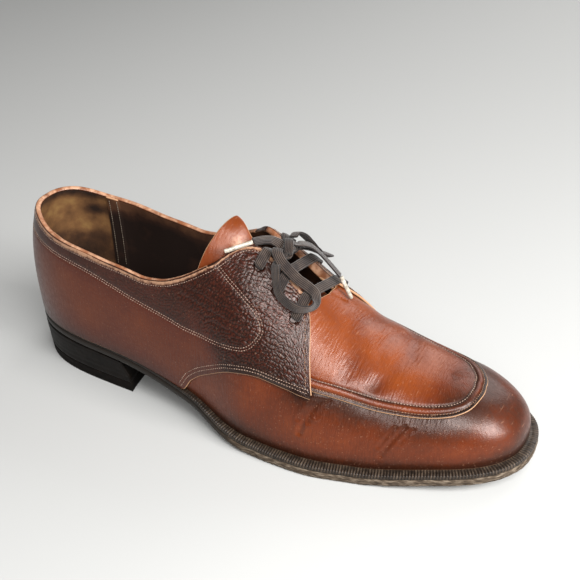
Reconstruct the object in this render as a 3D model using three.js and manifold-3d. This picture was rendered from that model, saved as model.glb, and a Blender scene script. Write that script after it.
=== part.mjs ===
// Right apron toe derby shoe in millimetres: toe towards +X, outer side towards -Y, +Z up.
// The upper is a shell over ribs that rise from the feather line, where upper meets sole,
// to the ridge along the top. A place on it has a share p, from the heel back (0) to the toe
// tip (1) along the feather line, and a share v, from the feather line (0) to the ridge (1).
import * as THREE from 'three';
import { mergeVertices } from 'three/addons/utils/BufferGeometryUtils.js';
import Module from 'manifold-3d';

// Driving dimensions
const LAST_LENGTH = 297;
const BALL_WIDTH = 90;
const INSTEP_HEIGHT = 87;
const HEEL_LIFT = 22;
const TOE_SPRING = 8.2;
const OUTSOLE = 4.5;
const WELT = 2.5;
const WELT_EDGE = 5;
const WELT_SEAT = 7;
const INSOLE = 2.6;
const TOP_PIECE = 6.5;
const HEEL_TAPER = 1.6;
const BREAST_FLARE = 5;
const BREAST_HOLLOW = 4;
const WALL = 2;
const LINING = 1.4;
const APRON = 1.1;
const QUARTER = 1.3;
const TONGUE = 1.8;
const CLEARANCE = 0.3;
const SKIN_GAP = 0.4;
const EYELET = 4.4;
const LACE_WIDTH = 5.5;
const LACE_THICKNESS = 1.2;
const LACE_SEAT = 0.7;
const AGLET_DIAMETER = 2.8;

// How close two points are that count as one, and two shares
const SAME_POINT = 1e-3;
const SAME_SHARE = 1e-6;

const SIDES = [-1, 1];
const LATERAL = -1;

// The feather line: half widths and centre line as shares of BALL_WIDTH
const PLAN = table(
  ['share', 'lateral', 'medial', 'centre'],
  [
    [0.0, 0.345, 0.35, 0.0],
    [0.12, 0.345, 0.35, 0.0],
    [0.25, 0.361, 0.328, 0.0],
    [0.42, 0.417, 0.322, 0.011],
    [0.55, 0.522, 0.372, 0.022],
    [0.66, 0.533, 0.461, 0.035],
    [0.76, 0.494, 0.483, 0.067],
    [0.88, 0.455, 0.45, 0.1],
    [1.0, 0.455, 0.417, 0.122],
  ],
);
// Each end of the outline is a superellipse quarter: its share of the length and its power
const TOE_END = { share: 0.277, power: 2.45 };
const HEEL_END = { share: 0.19, power: 2.3 };

// Underside of the outsole as shares of HEEL_LIFT and TOE_SPRING, welt as a share of WELT,
// and how far the sole's edge stands out from the feather line as a share of WELT_EDGE
const SOLE = table(
  ['share', 'lift', 'spring', 'welt', 'edge'],
  [
    [0.0, 1.09, 0, 0.48, 0.3],
    [0.15, 1.0, 0, 0.48, 0.3],
    [0.25, 0.93, 0, 0.56, 0.34],
    [0.4, 0.555, 0, 0.84, 0.5],
    [0.5, 0.13, 0, 0.96, 0.76],
    [0.58, 0.015, 0, 1, 0.92],
    [0.62, 0, 0, 1, 0.96],
    [0.75, 0, 0, 1, 1],
    [0.82, 0, 0.24, 1, 1],
    [0.9, 0, 0.66, 1, 0.96],
    [1.0, 0, 1, 1, 0.9],
  ],
);

// Ribs: crown height as a share of INSTEP_HEIGHT, power of the arch, ridge line as a share of
// BALL_WIDTH, and how far each side bulges past the feather line
const BODY = table(
  ['share', 'crown', 'power', 'ridge', 'lateralBulge', 'medialBulge'],
  [
    [0.0, 1.125, 2.14, 0, 0.1, 0.1],
    [0.15, 1.13, 2.16, 0, 0.09, 0.09],
    [0.3, 1.115, 2.24, 0, 0.065, 0.09],
    [0.42, 1.1, 2.18, 0.011, 0.045, 0.11],
    [0.49, 1.09, 2.06, 0.022, 0.045, 0.11],
    [0.54, 1.03, 2.0, 0.028, 0.045, 0.11],
    [0.6, 0.875, 1.93, 0.033, 0.04, 0.08],
    [0.66, 0.715, 1.97, 0.039, 0.04, 0.05],
    [0.74, 0.54, 2.13, 0.055, 0.04, 0.04],
    [0.82, 0.43, 2.25, 0.067, 0.03, 0.03],
    [0.92, 0.345, 2.38, 0.089, 0.03, 0.03],
    [1.0, 0.27, 2.4, 0.111, 0.03, 0.03],
  ],
);
// The ridge runs between two poles, where the ribs of heel and toe come together
const POLES = { heel: 0.15, toe: 0.86, blend: 0.05 };

const ARC_START = 0.397;
const QUARTER_END = 0.641;
// Upper edge of the quarters: topline, then the facing, then the front edge
const QUARTER_TOP = table(
  ['p', 'v'],
  [
    [0.0, 0.56],
    [0.06, 0.565],
    [0.13, 0.542],
    [0.2, 0.523],
    [0.27, 0.507],
    [0.32, 0.506],
    [0.36, 0.535],
    [0.4, 0.605],
    [0.43, 0.685],
    [0.455, 0.765],
    [0.475, 0.848],
    [0.49, 0.892],
    [0.51, 0.918],
    [0.543, 0.895],
    [0.572, 0.878],
    [0.587, 0.864],
    [0.599, 0.812],
    [0.609, 0.744],
    [0.627, 0.575],
    [QUARTER_END, 0.43],
  ],
);
// In front of the topline the medial quarter sits further forward by this share
const MEDIAL_FORWARD = 0.014;
const FORWARD_GROWS = [0.5, 0.6];
const FORWARD_FADES = [0.7, 0.8];
// Lower edge of the quarters: on the welt at the heel, then an arc over the mudguard
const QUARTER_FOOT = table(
  ['p', 'v'],
  [
    [0.0, 0],
    [ARC_START, 0],
    [0.42, 0.1],
    [0.45, 0.2],
    [0.507, 0.328],
    [0.563, 0.388],
    [0.603, 0.4],
    [QUARTER_END, 0.41],
  ],
);
const THROAT = 0.608;
const FACING_FOOT = 0.58;
const FACING_TOP = 0.508;
// Upper edge of the shell: the topline and facing again, then the throat at the ridge
const SHELL_TOP = table(
  ['p', 'v'],
  [
    ...QUARTER_TOP.rows.filter((row) => row[0] < FACING_FOOT),
    [0.59, 0.878],
    [0.6, 0.91],
    [0.605, 0.95],
    [THROAT, 1],
  ],
);
// Back edge and seam of the apron, which lies on the shell up to the ridge
const APRON_FOOT = table(
  ['p', 'lateral', 'medial'],
  [
    [0.583, 0.81, 0.81],
    [0.588, 0.74, 0.74],
    [0.6, 0.6, 0.6],
    [0.612, 0.5, 0.52],
    [0.625, 0.45, 0.485],
    [0.68, 0.469, 0.5],
    [0.75, 0.478, 0.53],
    [0.8, 0.49, 0.58],
    [0.85, 0.522, 0.634],
    [0.887, 0.562, 0.664],
    [0.943, 0.644, 0.685],
    [1.0, 0.684, 0.684],
  ],
);
// The tongue has slid outwards and lies under the lateral facing, with its inner corner standing up.
// lateral and medial are widths down from the ridge as shares of the rib
const TONGUE_START = 0.42;
const TONGUE_CENTRED = 0.59;
const TONGUE_END = 0.67;
const TONGUE_RISE = 7;
const TONGUE_SETTLES = [0.46, 0.5];
const TONGUE_WIDTH = table(
  ['p', 'top', 'lateral', 'medial'],
  [
    [TONGUE_START, 0.64, 0.44, 0.0],
    [0.435, 0.83, 0.43, 0.0],
    [0.45, 0.985, 0.42, 0.0],
    [0.465, 0.975, 0.4, 0.0],
    [0.49, 0.95, 0.38, 0.0],
    [0.508, 0.93, 0.37, 0.0],
    [0.56, 0.93, 0.36, 0.0],
    [TONGUE_CENTRED, 1, 0.36, 0.02],
    [TONGUE_END, 1, 0.36, 0.3],
  ],
);

// Each pair of eyelets, from the topline down
const EYELETS = table(
  ['p', 'v'],
  [
    [0.516, 0.848],
    [0.551, 0.806],
    [0.586, 0.752],
  ],
);

function table(columns, rows) {
  return { columns, rows };
}

// Smooth curve through a table's rows that never overshoots them
function read(source, column, share) {
  const k = source.columns.indexOf(column);
  const rows = source.rows;
  const steps = rows.slice(1).map((row, i) => row[0] - rows[i][0]);
  const rises = steps.map((step, i) => (rows[i + 1][k] - rows[i][k]) / step);
  const slope = (i) => {
    if (i === 0) return rises[0];
    if (i === rows.length - 1) return rises[i - 1];
    const before = rises[i - 1];
    const after = rises[i];
    if (before * after <= 0) return 0;
    const near = 2 * steps[i] + steps[i - 1];
    const far = steps[i] + 2 * steps[i - 1];
    return (near + far) / (near / before + far / after);
  };
  const last = rows.length - 1;
  if (share <= rows[0][0]) return rows[0][k] + slope(0) * (share - rows[0][0]);
  if (share >= rows[last][0]) return rows[last][k] + slope(last) * (share - rows[last][0]);
  let i = 0;
  while (share >= rows[i + 1][0]) i += 1;
  const t = (share - rows[i][0]) / steps[i];
  const t2 = t * t;
  const t3 = t2 * t;
  return (
    (2 * t3 - 3 * t2 + 1) * rows[i][k] +
    (t3 - 2 * t2 + t) * steps[i] * slope(i) +
    (3 * t2 - 2 * t3) * rows[i + 1][k] +
    (t3 - t2) * steps[i] * slope(i + 1)
  );
}

function clamp(value, low, high) {
  return Math.min(Math.max(value, low), high);
}

function smooth(value, [low, high]) {
  const t = clamp((value - low) / (high - low), 0, 1);
  return t * t * (3 - 2 * t);
}

// The feather line
function halfWidth(side, share) {
  const width = BALL_WIDTH * read(PLAN, side === LATERAL ? 'lateral' : 'medial', share);
  const toe = clamp((share - 1 + TOE_END.share) / TOE_END.share, 0, 1);
  const heel = clamp((HEEL_END.share - share) / HEEL_END.share, 0, 1);
  const toeRound = (1 - toe ** TOE_END.power) ** (1 / TOE_END.power);
  const heelRound = (1 - heel ** HEEL_END.power) ** (1 / HEEL_END.power);
  return width * toeRound * heelRound;
}

function featherPoint(side, share) {
  const y = BALL_WIDTH * read(PLAN, 'centre', share) + side * halfWidth(side, share);
  return new THREE.Vector2((share - 0.5) * LAST_LENGTH, y);
}

// Heights of the sole's layers over the floor
function soleBottom(share) {
  return HEEL_LIFT * read(SOLE, 'lift', share) + TOE_SPRING * read(SOLE, 'spring', share);
}
function soleTop(share) {
  return soleBottom(share) + OUTSOLE;
}
function weltTop(share) {
  return soleTop(share) + CLEARANCE + WELT * read(SOLE, 'welt', share);
}
function featherHeight(share) {
  return weltTop(share) + CLEARANCE;
}
function crownHeight(share) {
  return featherHeight(share) + INSTEP_HEIGHT * read(BODY, 'crown', share);
}

// Station along the length of each share p of the feather line, the mean of both sides
const OUTLINE_STEPS = 400;
const OUTLINE_SHARES = Array.from({ length: OUTLINE_STEPS + 1 }, (_, i) => {
  return (1 - Math.cos((Math.PI * i) / OUTLINE_STEPS)) / 2;
});
const FEATHER_RUNS = SIDES.map((side) => {
  const points = OUTLINE_SHARES.map((share) => featherPoint(side, share));
  const run = [0];
  for (let i = 1; i < points.length; i += 1) run.push(run[i - 1] + points[i].distanceTo(points[i - 1]));
  return run;
});
const FEATHER_LENGTHS = FEATHER_RUNS.map((run) => run[OUTLINE_STEPS]);
const STATIONS = OUTLINE_SHARES.map((share, i) => {
  return [(FEATHER_RUNS[0][i] / FEATHER_LENGTHS[0] + FEATHER_RUNS[1][i] / FEATHER_LENGTHS[1]) / 2, share];
});

function stationOf(p) {
  let i = 1;
  while (i < STATIONS.length - 1 && STATIONS[i][0] < p) i += 1;
  const [p0, s0] = STATIONS[i - 1];
  const [p1, s1] = STATIONS[i];
  return s0 + ((s1 - s0) * clamp(p - p0, 0, p1 - p0)) / (p1 - p0);
}

// The ridge, held between its two poles
function softLimit(share, limit) {
  const past = share - limit;
  if (past < -POLES.blend) return share;
  if (past > POLES.blend) return limit;
  return share - (past + POLES.blend) ** 2 / (4 * POLES.blend);
}
function ridgeShare(share) {
  return -softLimit(-softLimit(share, POLES.toe), -POLES.heel);
}
function ridgePoint(share) {
  const y = BALL_WIDTH * read(BODY, 'ridge', share);
  return new THREE.Vector3((share - 0.5) * LAST_LENGTH, y, crownHeight(share));
}
function ridgeNormal(share) {
  const step = 0.005;
  const tangent = ridgePoint(share + step).sub(ridgePoint(share - step)).normalize();
  const up = new THREE.Vector3(0, 0, 1);
  return up.addScaledVector(tangent, -tangent.z).normalize();
}

// One rib: a superellipse arch from the feather line to the ridge
const ARCH_STEPS = 72;
const ribs = new Map();
function rib(side, p) {
  const key = `${side} ${p.toFixed(6)}`;
  if (ribs.has(key)) return ribs.get(key);
  const share = stationOf(p);
  const foot = featherPoint(side, share);
  const footZ = featherHeight(share);
  const top = ridgePoint(ridgeShare(share));
  const power = read(BODY, 'power', share);
  const bulge = read(BODY, side === LATERAL ? 'lateralBulge' : 'medialBulge', share);
  const points = [];
  const run = [0];
  for (let i = 0; i <= ARCH_STEPS; i += 1) {
    const angle = (Math.PI / 2) * (i / ARCH_STEPS);
    const across = i === ARCH_STEPS ? 0 : Math.cos(angle) ** (2 / power) + bulge * Math.sin(2 * angle);
    const x = top.x + (foot.x - top.x) * across;
    const y = top.y + (foot.y - top.y) * across;
    const rise = Math.sin(angle) ** (2 / power);
    const z = footZ + (crownHeight(x / LAST_LENGTH + 0.5) - footZ) * rise;
    points.push(new THREE.Vector3(x, y, z));
    if (i > 0) run.push(run[i - 1] + points[i].distanceTo(points[i - 1]));
  }
  const made = { points, run, ridge: ridgeShare(share) };
  ribs.set(key, made);
  return made;
}

function surfacePoint(side, p, v) {
  const { points, run } = rib(side, clamp(p, 0, 1));
  const goal = clamp(v, 0, 1) * run[run.length - 1];
  let i = 1;
  while (i < run.length - 1 && run[i] < goal) i += 1;
  const t = (goal - run[i - 1]) / (run[i] - run[i - 1]);
  return points[i - 1].clone().lerp(points[i], t);
}

function surfaceNormal(side, p, v) {
  if (v >= 1) return ridgeNormal(rib(side, p).ridge);
  const dp = 0.003;
  const dv = 0.015;
  const along = surfacePoint(side, Math.min(p + dp, 1), v).sub(surfacePoint(side, Math.max(p - dp, 0), v));
  const up = surfacePoint(side, p, Math.min(v + dv, 1)).sub(surfacePoint(side, p, Math.max(v - dv, 0)));
  const atEnd = p <= 0 || p >= 1;
  if (atEnd) along.set(0, p <= 0 ? side : -side, 0);
  const normal = along.cross(up).multiplyScalar(side === LATERAL ? 1 : -1).normalize();
  if (v <= 0) normal.setZ(0).normalize();
  return normal;
}

// A place at a height over the upper's surface, or under it where the height is negative
function place(side, p, v, height) {
  return surfacePoint(side, p, v).addScaledVector(surfaceNormal(side, p, v), height);
}

// Where a lateral feature of the quarters lies on a side, and the other way round
function forward(side, p) {
  return side === LATERAL ? 0 : MEDIAL_FORWARD * smooth(p, FORWARD_GROWS) * (1 - smooth(p, FORWARD_FADES));
}
function ahead(side, p) {
  return p + forward(side, p);
}
function behind(side, p) {
  return p - forward(side, p - forward(side, p));
}

// Columns and rows that every piece of the upper shares, so that their facets run parallel
const ROW_COUNT = 11;
const ROWS = Array.from({ length: ROW_COUNT + 1 }, (_, j) => j / ROW_COUNT);
const COLUMN_SHARES = [
  0, 0.02, 0.042, 0.066, 0.092, 0.12, 0.16, 0.2, 0.24, 0.28, 0.32, 0.36, 0.397, 0.42, 0.435, 0.45,
  0.465, 0.49, 0.508, 0.535, 0.56, 0.575, 0.583, 0.59, 0.598, 0.608, 0.618, 0.629, 0.641, 0.655, 0.67, 0.7, 0.735,
  0.77, 0.805, 0.835, 0.862, 0.887, 0.91, 0.93, 0.95, 0.967, 0.984, 1,
];

// Faces of a solid, gathered as points and then merged
class Solid {
  constructor() {
    this.corners = [];
  }

  quad(a, b, c, d) {
    this.triangle(a, b, c);
    this.triangle(a, c, d);
  }

  triangle(a, b, c) {
    const shortest = Math.min(a.distanceTo(b), b.distanceTo(c), c.distanceTo(a));
    if (shortest > SAME_POINT / 10) this.corners.push(a, b, c);
  }

  geometry() {
    const geometry = new THREE.BufferGeometry().setFromPoints(this.corners);
    const merged = mergeVertices(geometry, SAME_POINT);
    if (volume(merged) < 0) {
      const index = merged.getIndex();
      for (let i = 0; i < index.count; i += 3) {
        const second = index.getX(i + 1);
        index.setX(i + 1, index.getX(i + 2));
        index.setX(i + 2, second);
      }
    }
    merged.computeVertexNormals();
    return merged;
  }
}

function volume(geometry) {
  const position = geometry.getAttribute('position');
  const index = geometry.getIndex();
  const [a, b, c] = [new THREE.Vector3(), new THREE.Vector3(), new THREE.Vector3()];
  let total = 0;
  for (let i = 0; i < index.count; i += 3) {
    a.fromBufferAttribute(position, index.getX(i));
    b.fromBufferAttribute(position, index.getX(i + 1));
    c.fromBufferAttribute(position, index.getX(i + 2));
    total += a.dot(b.cross(c)) / 6;
  }
  return total;
}

// A leather panel: a band of ribs between a foot and a top, with an outer and an inner face.
// On two sides it is joined along the ridge, and at the heel back or toe tip if it reaches them
function panel({ sides, from, to, foot, top, outer, inner }) {
  const solid = new Solid();
  sides.forEach((side) => {
    const start = Math.max(from(side), 0);
    const inside = COLUMN_SHARES.filter((p) => p > start + SAME_SHARE && p < to - SAME_SHARE);
    const columns = [start, ...inside, to];
    const grid = columns.map((p) => {
      const low = foot(side, p);
      const high = Math.max(top(side, p), low);
      return ROWS.map((row) => {
        const v = clamp(row, low, high);
        return {
          v,
          out: place(side, p, v, outer(side, p, v)),
          in: place(side, p, v, inner(side, p, v)),
        };
      });
    });
    const both = sides.length === 2;
    const last = ROWS.length - 1;
    for (let i = 0; i < columns.length - 1; i += 1) {
      const [here, next] = side === LATERAL ? [grid[i], grid[i + 1]] : [grid[i + 1], grid[i]];
      for (let j = 0; j < last; j += 1) {
        solid.quad(here[j].out, next[j].out, next[j + 1].out, here[j + 1].out);
        solid.quad(here[j].in, here[j + 1].in, next[j + 1].in, next[j].in);
      }
      solid.quad(here[0].in, next[0].in, next[0].out, here[0].out);
      const atRidge = both && here[last].v >= 1 && next[last].v >= 1;
      if (!atRidge) solid.quad(here[last].out, next[last].out, next[last].in, here[last].in);
    }
    const close = (column, upwards) => {
      for (let j = 0; j < last; j += 1) {
        const [a, b] = upwards ? [column[j], column[j + 1]] : [column[j + 1], column[j]];
        solid.quad(a.in, a.out, b.out, b.in);
      }
    };
    if (!(both && start <= 0)) close(grid[0], side === LATERAL);
    if (!(both && to >= 1)) close(grid[grid.length - 1], side !== LATERAL);
  });
  return solid.geometry();
}

// The shell of the upper: vamp and mudguard in front, lining under the quarters
const WALL_GROWS = [0.42, 0.56];
function shellWall(p) {
  return LINING + (WALL - LINING) * smooth(p, WALL_GROWS);
}
function shellTop(side, p) {
  return p >= THROAT ? 1 : read(SHELL_TOP, 'v', behind(side, p));
}
function makeShell() {
  return panel({
    sides: SIDES,
    from: () => 0,
    to: 1,
    foot: () => 0,
    top: shellTop,
    outer: () => 0,
    inner: (side, p) => -shellWall(p),
  });
}

// The apron over the toe and vamp
function apronFoot(side, p) {
  return read(APRON_FOOT, side === LATERAL ? 'lateral' : 'medial', p);
}
function makeApron() {
  return panel({
    sides: SIDES,
    from: () => APRON_FOOT.rows[0][0],
    to: 1,
    foot: apronFoot,
    top: shellTop,
    outer: () => SKIN_GAP + APRON,
    inner: () => SKIN_GAP,
  });
}

// A quarter lies on the shell and climbs over the apron's back edge, above its own arc
const QUARTER_CLIMBS = [0.53, 0.575];
const ARC_CLIMBS = [-0.01, 0.04];
const FRONT_CLIMBS = [0.6, 0.625];
function quarterLift(side, p, v) {
  const arc = read(QUARTER_FOOT, 'v', behind(side, p));
  const raised = Math.max(smooth(v - arc, ARC_CLIMBS), smooth(p, FRONT_CLIMBS));
  return SKIN_GAP + (APRON + SKIN_GAP) * smooth(p, QUARTER_CLIMBS) * raised;
}
function makeQuarter(side) {
  const halfGap = CLEARANCE / 2 / Math.min(...FEATHER_LENGTHS);
  return panel({
    sides: [side],
    from: () => halfGap,
    to: ahead(side, QUARTER_END),
    foot: (s, p) => (p <= ARC_START ? 0 : read(QUARTER_FOOT, 'v', behind(s, p))),
    top: (s, p) => read(QUARTER_TOP, 'v', behind(s, p)),
    outer: (s, p, v) => quarterLift(s, p, v) + QUARTER,
    inner: quarterLift,
  });
}

// The tongue under the facings
function tongueHeight(side, p, v) {
  const under = -shellWall(p) - 2 * SKIN_GAP;
  const collar = read(QUARTER_TOP, 'v', Math.min(p, FACING_TOP));
  const free = side === LATERAL ? clamp((v - collar) / (1 - collar), 0, 1) : 1;
  return under + TONGUE_RISE * free * (1 - smooth(p, TONGUE_SETTLES));
}
function makeTongue() {
  const width = (side, p) => read(TONGUE_WIDTH, side === LATERAL ? 'lateral' : 'medial', p);
  return panel({
    sides: SIDES,
    from: (side) => (side === LATERAL ? TONGUE_START : TONGUE_CENTRED),
    to: TONGUE_END,
    foot: (side, p) => 1 - width(side, p),
    top: (side, p) => (p >= TONGUE_CENTRED ? 1 : read(TONGUE_WIDTH, 'top', p)),
    outer: tongueHeight,
    inner: (side, p, v) => tongueHeight(side, p, v) - TONGUE,
  });
}

// The sole's outlines, set out or in from the feather line, at the stations of the ribs
const SOLE_SHARES = COLUMN_SHARES.map(stationOf);
function edgePoint(side, share, out) {
  const step = 0.0015;
  const before = featherPoint(side, Math.max(share - step, 0));
  const after = featherPoint(side, Math.min(share + step, 1));
  const along = after.sub(before).normalize();
  const normal = new THREE.Vector2(-along.y, along.x).multiplyScalar(side);
  if (share <= 0) normal.set(-1, 0);
  if (share >= 1) normal.set(1, 0);
  return featherPoint(side, share).addScaledVector(normal, out);
}
function soleEdge(share) {
  return WELT_EDGE * read(SOLE, 'edge', share);
}
function at(point, z) {
  return new THREE.Vector3(point.x, point.y, z);
}

// A plate across both sides between two heights, narrower at the bottom by a taper
const PLATE_ROWS = [0, 0.25, 0.5, 0.75, 1];
function plate({ from = 0, to = 1, edge, top, bottom, taper = 0, front = () => 0 }) {
  const solid = new Solid();
  const inside = SOLE_SHARES.filter((share) => share > from + SAME_SHARE && share < to - SAME_SHARE);
  const shares = [from, ...inside, to];
  const rowAt = (share, level) => {
    const out = edge(share) - (level === 'bottom' ? taper : 0);
    const z = (x) => (level === 'top' ? top : bottom)(clamp(x / LAST_LENGTH + 0.5, 0, 1));
    const [a, b] = SIDES.map((side) => edgePoint(side, share, out));
    return PLATE_ROWS.map((t) => {
      const point = a.clone().lerp(b, t);
      if (to < 1 && share === to) point.x += front(level, t);
      return at(point, z(point.x));
    });
  };
  const tops = shares.map((share) => rowAt(share, 'top'));
  const bottoms = shares.map((share) => rowAt(share, 'bottom'));
  const last = PLATE_ROWS.length - 1;
  for (let i = 0; i < shares.length - 1; i += 1) {
    for (let j = 0; j < last; j += 1) {
      solid.quad(tops[i][j], tops[i + 1][j], tops[i + 1][j + 1], tops[i][j + 1]);
      solid.quad(bottoms[i][j], bottoms[i][j + 1], bottoms[i + 1][j + 1], bottoms[i + 1][j]);
    }
    solid.quad(bottoms[i][0], bottoms[i + 1][0], tops[i + 1][0], tops[i][0]);
    solid.quad(tops[i][last], tops[i + 1][last], bottoms[i + 1][last], bottoms[i][last]);
  }
  const end = (i, inwards) => {
    for (let j = 0; j < last; j += 1) {
      const [a, b] = inwards ? [j, j + 1] : [j + 1, j];
      solid.quad(tops[i][a], tops[i][b], bottoms[i][b], bottoms[i][a]);
    }
  };
  end(0, true);
  end(shares.length - 1, false);
  return solid.geometry();
}

function makeOutsole() {
  return plate({ edge: soleEdge, top: soleTop, bottom: soleBottom });
}

function makeInsole() {
  return plate({
    edge: (share) => -(shellWall(share) + CLEARANCE),
    top: (share) => featherHeight(share) + INSOLE,
    bottom: featherHeight,
  });
}

// The welt is a ring between the sole's edge and a seat under the insole
function makeWelt() {
  const solid = new Solid();
  const ring = [
    ...SOLE_SHARES.map((share) => [LATERAL, share]),
    ...SOLE_SHARES.slice(1, -1).reverse().map((share) => [-LATERAL, share]),
  ];
  const sections = ring.map(([side, share]) => {
    const outer = edgePoint(side, share, soleEdge(share));
    const inner = edgePoint(side, share, -WELT_SEAT);
    return [outer, inner].flatMap((point) => {
      const s = clamp(point.x / LAST_LENGTH + 0.5, 0, 1);
      return [at(point, soleTop(s) + CLEARANCE), at(point, weltTop(s))];
    });
  });
  sections.forEach((here, i) => {
    const next = sections[(i + 1) % sections.length];
    const [outLow, outHigh, inLow, inHigh] = here;
    const [nextOutLow, nextOutHigh, nextInLow, nextInHigh] = next;
    solid.quad(outLow, nextOutLow, nextOutHigh, outHigh);
    solid.quad(outHigh, nextOutHigh, nextInHigh, inHigh);
    solid.quad(inHigh, nextInHigh, nextInLow, inLow);
    solid.quad(inLow, nextInLow, nextOutLow, outLow);
  });
  return solid.geometry();
}

// The heel: a stack of leather lifts over a rubber top piece, with a hollow, flared breast
const BREAST = 0.247;
const FLARE_START = 0.4;
function breastLine(height, t) {
  const flare = BREAST_FLARE * smooth(1 - height, [0, 1 - FLARE_START]);
  return flare - BREAST_HOLLOW * (1 - (2 * t - 1) ** 2);
}
function heelTaper(height) {
  return HEEL_TAPER * (1 - height);
}
function makeHeelLayer(low, high, top, bottom) {
  return plate({
    to: BREAST,
    edge: (share) => soleEdge(share) - heelTaper(high),
    top,
    bottom,
    taper: heelTaper(low) - heelTaper(high),
    front: (level, t) => breastLine(level === 'top' ? high : low, t),
  });
}
const TOP_PIECE_SHARE = TOP_PIECE / HEEL_LIFT;
function makeTopPiece() {
  return makeHeelLayer(0, TOP_PIECE_SHARE, () => TOP_PIECE, () => 0);
}
function makeHeelStack() {
  const bottom = () => TOP_PIECE + CLEARANCE;
  return makeHeelLayer(TOP_PIECE_SHARE, 1, (share) => soleBottom(share) - CLEARANCE, bottom);
}

// Eyelet holes are bored with straight pins along the surface normal
const wasm = await Module();
wasm.setup();

// The same faces with nothing but shared points
function bare(geometry) {
  const made = new THREE.BufferGeometry();
  made.setAttribute('position', geometry.getAttribute('position').clone());
  made.setIndex(geometry.getIndex().clone());
  return mergeVertices(made, SAME_POINT);
}

function toManifold(geometry) {
  const merged = bare(geometry);
  return new wasm.Manifold(
    new wasm.Mesh({
      numProp: 3,
      vertProperties: new Float32Array(merged.getAttribute('position').array),
      triVerts: new Uint32Array(merged.getIndex().array),
    }),
  );
}

function fromManifold(solid) {
  const mesh = solid.getMesh();
  const geometry = new THREE.BufferGeometry();
  geometry.setAttribute('position', new THREE.BufferAttribute(mesh.vertProperties, 3));
  geometry.setIndex(new THREE.BufferAttribute(mesh.triVerts, 1));
  geometry.computeVertexNormals();
  return geometry;
}

// A round rod about a centre, along a direction
function rod(radius, length, count, direction, centre) {
  const geometry = new THREE.CylinderGeometry(radius, radius, length, count);
  const turn = new THREE.Quaternion().setFromUnitVectors(new THREE.Vector3(0, 1, 0), direction);
  geometry.applyQuaternion(turn);
  geometry.translate(centre.x, centre.y, centre.z);
  return bare(geometry);
}

const HOLE_SIDES = 10;
const HOLE_REACH = 9;
function eyeletPin(side, [share, v]) {
  const p = ahead(side, share);
  const pin = rod(EYELET / 2, HOLE_REACH, HOLE_SIDES, surfaceNormal(side, p, v), surfacePoint(side, p, v));
  return toManifold(pin);
}

function bored(geometry, sides) {
  let solid = toManifold(geometry);
  sides.forEach((side) => {
    EYELETS.rows.forEach((row) => {
      solid = solid.subtract(eyeletPin(side, row));
    });
  });
  return fromManifold(solid);
}

// A flat strip of lace along a path, with its width along the direction that acrossAt gives
function laceStrip(points, acrossAt, width, thickness) {
  const solid = new Solid();
  const count = points.length;
  const sections = points.map((point, i) => {
    const tangent = points[Math.min(i + 1, count - 1)].clone().sub(points[Math.max(i - 1, 0)]).normalize();
    const across = acrossAt(tangent, i).clone();
    across.addScaledVector(tangent, -across.dot(tangent)).normalize();
    const up = tangent.clone().cross(across).normalize();
    return [[-1, -1], [1, -1], [1, 1], [-1, 1]].map(([a, b]) =>
      point.clone().addScaledVector(across, (a * width) / 2).addScaledVector(up, (b * thickness) / 2),
    );
  });
  for (let i = 0; i < count - 1; i += 1) {
    for (let k = 0; k < 4; k += 1) {
      const n = (k + 1) % 4;
      solid.quad(sections[i][k], sections[i][n], sections[i + 1][n], sections[i + 1][k]);
    }
  }
  const [first, last] = [sections[0], sections[count - 1]];
  solid.quad(first[3], first[2], first[1], first[0]);
  solid.quad(last[0], last[1], last[2], last[3]);
  return solid.geometry();
}

// Each bar runs over the throat, from eyelet to eyelet. The top one dips under the knot
const BAR_STEPS = 5;
function laceHeight(side, p, v) {
  return quarterLift(side, p, v) + QUARTER + LACE_SEAT + LACE_THICKNESS / 2;
}
function barSide(side, [share, v]) {
  const p = ahead(side, share);
  const facing = read(QUARTER_TOP, 'v', share);
  return Array.from({ length: BAR_STEPS + 1 }, (_, i) => {
    const high = v + ((facing - v) * i) / BAR_STEPS;
    return place(side, p, high, laceHeight(side, p, high));
  });
}
function barDip() {
  return BAR_DIP.map(([x, y, rise]) => new THREE.Vector3(x, y, crownHeight(x / LAST_LENGTH + 0.5) + rise));
}
function makeBar(row, middle) {
  const points = [...barSide(LATERAL, row), ...middle, ...barSide(-LATERAL, row).reverse()];
  const [p, v] = row;
  const step = 0.01;
  const along = surfacePoint(LATERAL, p + step, v).sub(surfacePoint(LATERAL, p - step, v)).normalize();
  return laceStrip(points, () => along, LACE_WIDTH, LACE_THICKNESS);
}

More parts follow.
